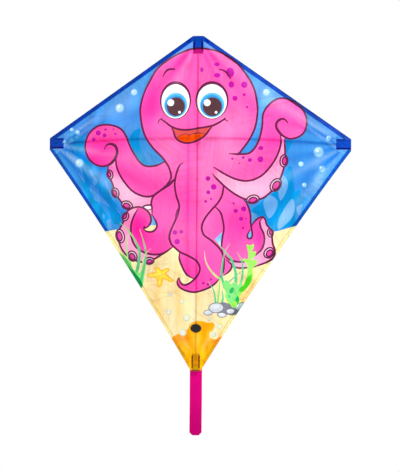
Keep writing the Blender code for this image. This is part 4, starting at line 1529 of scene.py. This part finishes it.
def patch_line(share):
    """An ellipse inside the patch's rim, at a share of its size, as (x, z) points along it."""
    low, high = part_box("front_patch")
    centre, half = (low + high) / 2, (high - low) / 2 * share
    turns = [2 * pi * i / PATCH_POINTS for i in range(PATCH_POINTS + 1)]
    return [(centre.x + half.x * cos(a), centre.z + half.z * sin(a)) for a in turns]


def build_patch_rim(vinyl):
    """The moulded rim of the oval patch."""
    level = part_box("front_patch")[0].y - 0.0001
    outer, inner = patch_line(1 - PATCH_RIM), patch_line(1 - 3 * PATCH_RIM)
    verts, faces = [], []
    for (ox, oz), (ix, iz) in zip(outer[:-1], inner):
        out = Vector((ox - ix, oz - iz)).normalized()
        for j in range(PATCH_SIDES):
            b = 2 * pi * j / PATCH_SIDES
            reach = RIM_REACH * cos(b)
            verts.append((ox + out.x * reach, level + RIM_RISE * sin(b), oz + out.y * reach))
    for i in range(PATCH_POINTS):
        a, b = i * PATCH_SIDES, (i + 1) % PATCH_POINTS * PATCH_SIDES
        for j in range(PATCH_SIDES):
            k = (j + 1) % PATCH_SIDES
            faces.append((a + j, a + k, b + k, b + j))
    return new_object("patch_rim", verts, faces, vinyl)


# The floor's radius and height, in metres.
FLOOR_RADIUS = 2.4
FLOOR_HEIGHT = -1.30

# How strong the light from all around is. Then each lamp: where it is, what it is aimed at, its size
# in metres and its power in watts.
AMBIENT = 0.36
LIGHTS = (
    ("key", (2.0, -1.9, 1.7), (0, 0, -0.1), 0.6, 97.0),
    ("fill", (-2.3, -2.1, 0.3), (0, 0, -0.2), 1.4, 25.0),
    ("back", (0.1, 1.8, 1.2), (0, 0, -0.15), 1.1, 58.0),
)


def build_floor():
    """A plain pale floor under the kite."""
    n = Nodes("pale_floor")
    spots = n.noise(n.place, 3.0, 4.0)
    colour = n.mix(n.range(spots, 0.3, 0.7, 0, 1), (0.86, 0.86, 0.86, 1), (0.90, 0.90, 0.90, 1))
    skin = n.add("ShaderNodeBsdfPrincipled", Base_Color=colour, Roughness=0.8)
    ring = [2 * pi * i / 96 for i in range(96)]
    disc = [(FLOOR_RADIUS * cos(a), FLOOR_RADIUS * sin(a), 0) for a in ring]
    floor = new_object("floor", disc, [tuple(range(96))], n.finish(skin.outputs[0]))
    floor.location = (0, 0, FLOOR_HEIGHT)


def build_lights():
    """A white surrounding that the camera sees brighter than it lights, and three soft lamps."""
    world = bpy.data.worlds.new("studio")
    world.use_nodes = True
    tree = world.node_tree
    tree.nodes.clear()
    both = tree.nodes.new("ShaderNodeMixShader")
    ray = tree.nodes.new("ShaderNodeLightPath")
    tree.links.new(ray.outputs["Is Camera Ray"], both.inputs[0])
    for socket, strength in ((1, AMBIENT), (2, 1.0)):
        white = tree.nodes.new("ShaderNodeBackground")
        white.inputs["Strength"].default_value = strength
        white.inputs["Color"].default_value = (1, 1, 1, 1)
        tree.links.new(white.outputs[0], both.inputs[socket])
    out = tree.nodes.new("ShaderNodeOutputWorld")
    tree.links.new(both.outputs[0], out.inputs["Surface"])
    bpy.context.scene.world = world

    for name, place, aim, size, power in LIGHTS:
        data = bpy.data.lights.new(name, "AREA")
        data.shape = "DISK"
        data.size = size
        data.energy = power
        lamp = bpy.data.objects.new(name, data)
        lamp.location = place
        way = Vector(aim) - Vector(place)
        lamp.rotation_euler = way.to_track_quat("-Z", "Y").to_euler()
        bpy.context.scene.collection.objects.link(lamp)


# The camera: what it looks at, from how far, from how far to the right, how much it is rolled, how
# much of the scene its longer side takes in and its sensor's width, in metres, degrees and millimetres.
VIEW_CENTRE = Vector((0.0080, 0.0, -0.236))
VIEW_DISTANCE = 4.0
VIEW_AZIMUTH = 5.0
VIEW_ROLL = 0.48
VIEW_HEIGHT = 1.1328
SENSOR = 36.0


def build_camera():
    """The camera of the main view."""
    data = bpy.data.cameras.new("camera")
    data.sensor_width = SENSOR
    data.lens = SENSOR * VIEW_DISTANCE / VIEW_HEIGHT
    data.clip_end = 60
    camera = bpy.data.objects.new("camera", data)
    a = radians(VIEW_AZIMUTH)
    away = Vector((sin(a), -cos(a), 0))
    camera.location = VIEW_CENTRE + away * VIEW_DISTANCE
    turn = (-away).to_track_quat("-Z", "Y").to_matrix().to_4x4()
    camera.rotation_euler = (turn @ Matrix.Rotation(radians(VIEW_ROLL), 4, "Z")).to_euler()
    bpy.context.scene.collection.objects.link(camera)
    bpy.context.scene.camera = camera
    bpy.context.scene.view_settings.view_transform = "Standard"


def draw_print():
    """All the shapes of the print, from the lowest to the topmost."""
    draw_sea()
    draw_bubbles()
    draw_star()
    draw_limbs()
    draw_body()
    draw_face()
    draw_plants()


def dress_wing(obj, side, word, hem, hem_thread, pocket_thread):
    """The hems and seams of one half of the sail; its pocket's seam moves with the wing."""
    upper = build_hem("upper_hem_cloth_" + word, side, True, hem)
    lower = build_hem("lower_hem_cloth_" + word, side, False, hem)
    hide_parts("upper_hem_" + word)
    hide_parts("lower_hem_" + word)
    upper_seam = hem_seam("upper_seam_" + word, side, True, hem_thread)
    lower_seam = hem_seam("lower_seam_" + word, side, False, hem_thread)
    rows = []
    for inset in WING_POCKET_ROWS:
        line = dense(outline_of("wing_pocket_" + word, inset))
        line = [q for q in line if lower_edge(abs(q[0])) < q[1] < upper_edge(abs(q[0]))]
        rows.append(stitch_row(line, POCKET_LIFT))
    pocket_seam = sewn("pocket_seam_" + word, rows, pocket_thread)
    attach(pocket_seam, word + "_wing")
    for piece in (obj, upper, lower, upper_seam, lower_seam):
        bend(piece)


def sew_middle(pocket_thread):
    """The seams of the upright pockets, the foot and the patch, and the patch's rim."""
    brown_thread = thread_material("tail_pocket_thread", (110, 62, 20))
    for node, insets, thread in (("nose_pocket", NOSE_POCKET_ROWS, pocket_thread),
                                 ("tail_pocket", TAIL_POCKET_ROWS, brown_thread)):
        rows = [stitch_row(dense(outline_of(node, inset)), POCKET_LIFT) for inset in insets]
        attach(sewn(node + "_seam", rows, thread), "spine_frame")
    across = [(-FOOT_HALF + MM, MM - TAIL_DEPTH), (FOOT_HALF - MM, MM - TAIL_DEPTH)]
    zigzag = [(x, z + ZIGZAG_RISE * (i % 2)) for i, (x, z) in enumerate(dense(across, ZIGZAG_STEP))]
    row = stitch_row(zigzag, POCKET_LIFT, length=ZIGZAG_STEP, gap=0.0002, width=ZIGZAG_WIDTH)
    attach(sewn("foot_seam", [row], brown_thread), "spine_frame")
    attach(build_patch_rim(plastic_material("vinyl_rim", (12, 12, 14), 0.38, grain=300.0)), "spine_frame")
    row = stitch_row(patch_line(PATCH_SEAM), PATCH_LIFT, level=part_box("front_patch")[0].y)
    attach(sewn("patch_seam", [row], thread_material("patch_thread", (30, 30, 34))), "spine_frame")


def hang_ribbon():
    """The three lengths of the ribbon, each round one of its joints, and the seam of its tab."""
    ribbon = cloth_material("ribbon_cloth", colour=(220, 0, 124), through=0.2, pitch=0.0005, shine=0.06,
                            darker_below=(RIBBON_END, RIBBON_HIGH.z))
    joints = RIBBON_JOINTS
    stops = [TAB_HIGH.z, (joints[0] + joints[1]) / 2, (joints[1] + joints[2]) / 2, RIBBON_END]
    nodes = ["tail_ribbon_tab", "tail_ribbon_upper", "tail_ribbon_middle", "tail_ribbon_lower"]
    for i in range(3):
        chamfer = RIBBON_CHAMFER if i == 2 else 0.0
        piece = build_ribbon("ribbon_" + str(i + 1), stops[i], stops[i + 1], ribbon, chamfer)
        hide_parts(*nodes[i:i + 2])
        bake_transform(piece)
    rows = []
    for depth in TAB_ROWS:
        line = [(x * RIBBON_HALF, TAB_HIGH.z - depth) for x in (-TAB_REACH, TAB_REACH)]
        rows.append(stitch_row(dense(line), TAB_LIFT, level=RIBBON_Y + TAB_BEHIND))
    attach(sewn("tab_seam", rows, thread_material("ribbon_thread", (150, 0, 84))), "spine_frame")


def main():
    """Builds the scene."""
    build_camera()
    build_floor()
    build_lights()
    dress_nodes()
    draw_print()
    sail = cloth_material("printed_cloth", attribute="print", through=0.34, crease_shade=0.13, shine=0.08)
    left, right = build_sail(sail)
    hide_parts("sail_left", "sail_centre")
    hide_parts("sail_right", "sail_centre")
    hem = cloth_material("printed_hem_cloth", attribute="print", through=0.7, shine=0.03)
    hem_thread = thread_material("hem_thread", attribute="print")
    pocket_thread = thread_material("pocket_thread", (16, 34, 120))
    dress_wing(left, -1, "left", hem, hem_thread, pocket_thread)
    dress_wing(right, 1, "right", hem, hem_thread, pocket_thread)
    sew_middle(pocket_thread)
    hang_ribbon()


main()
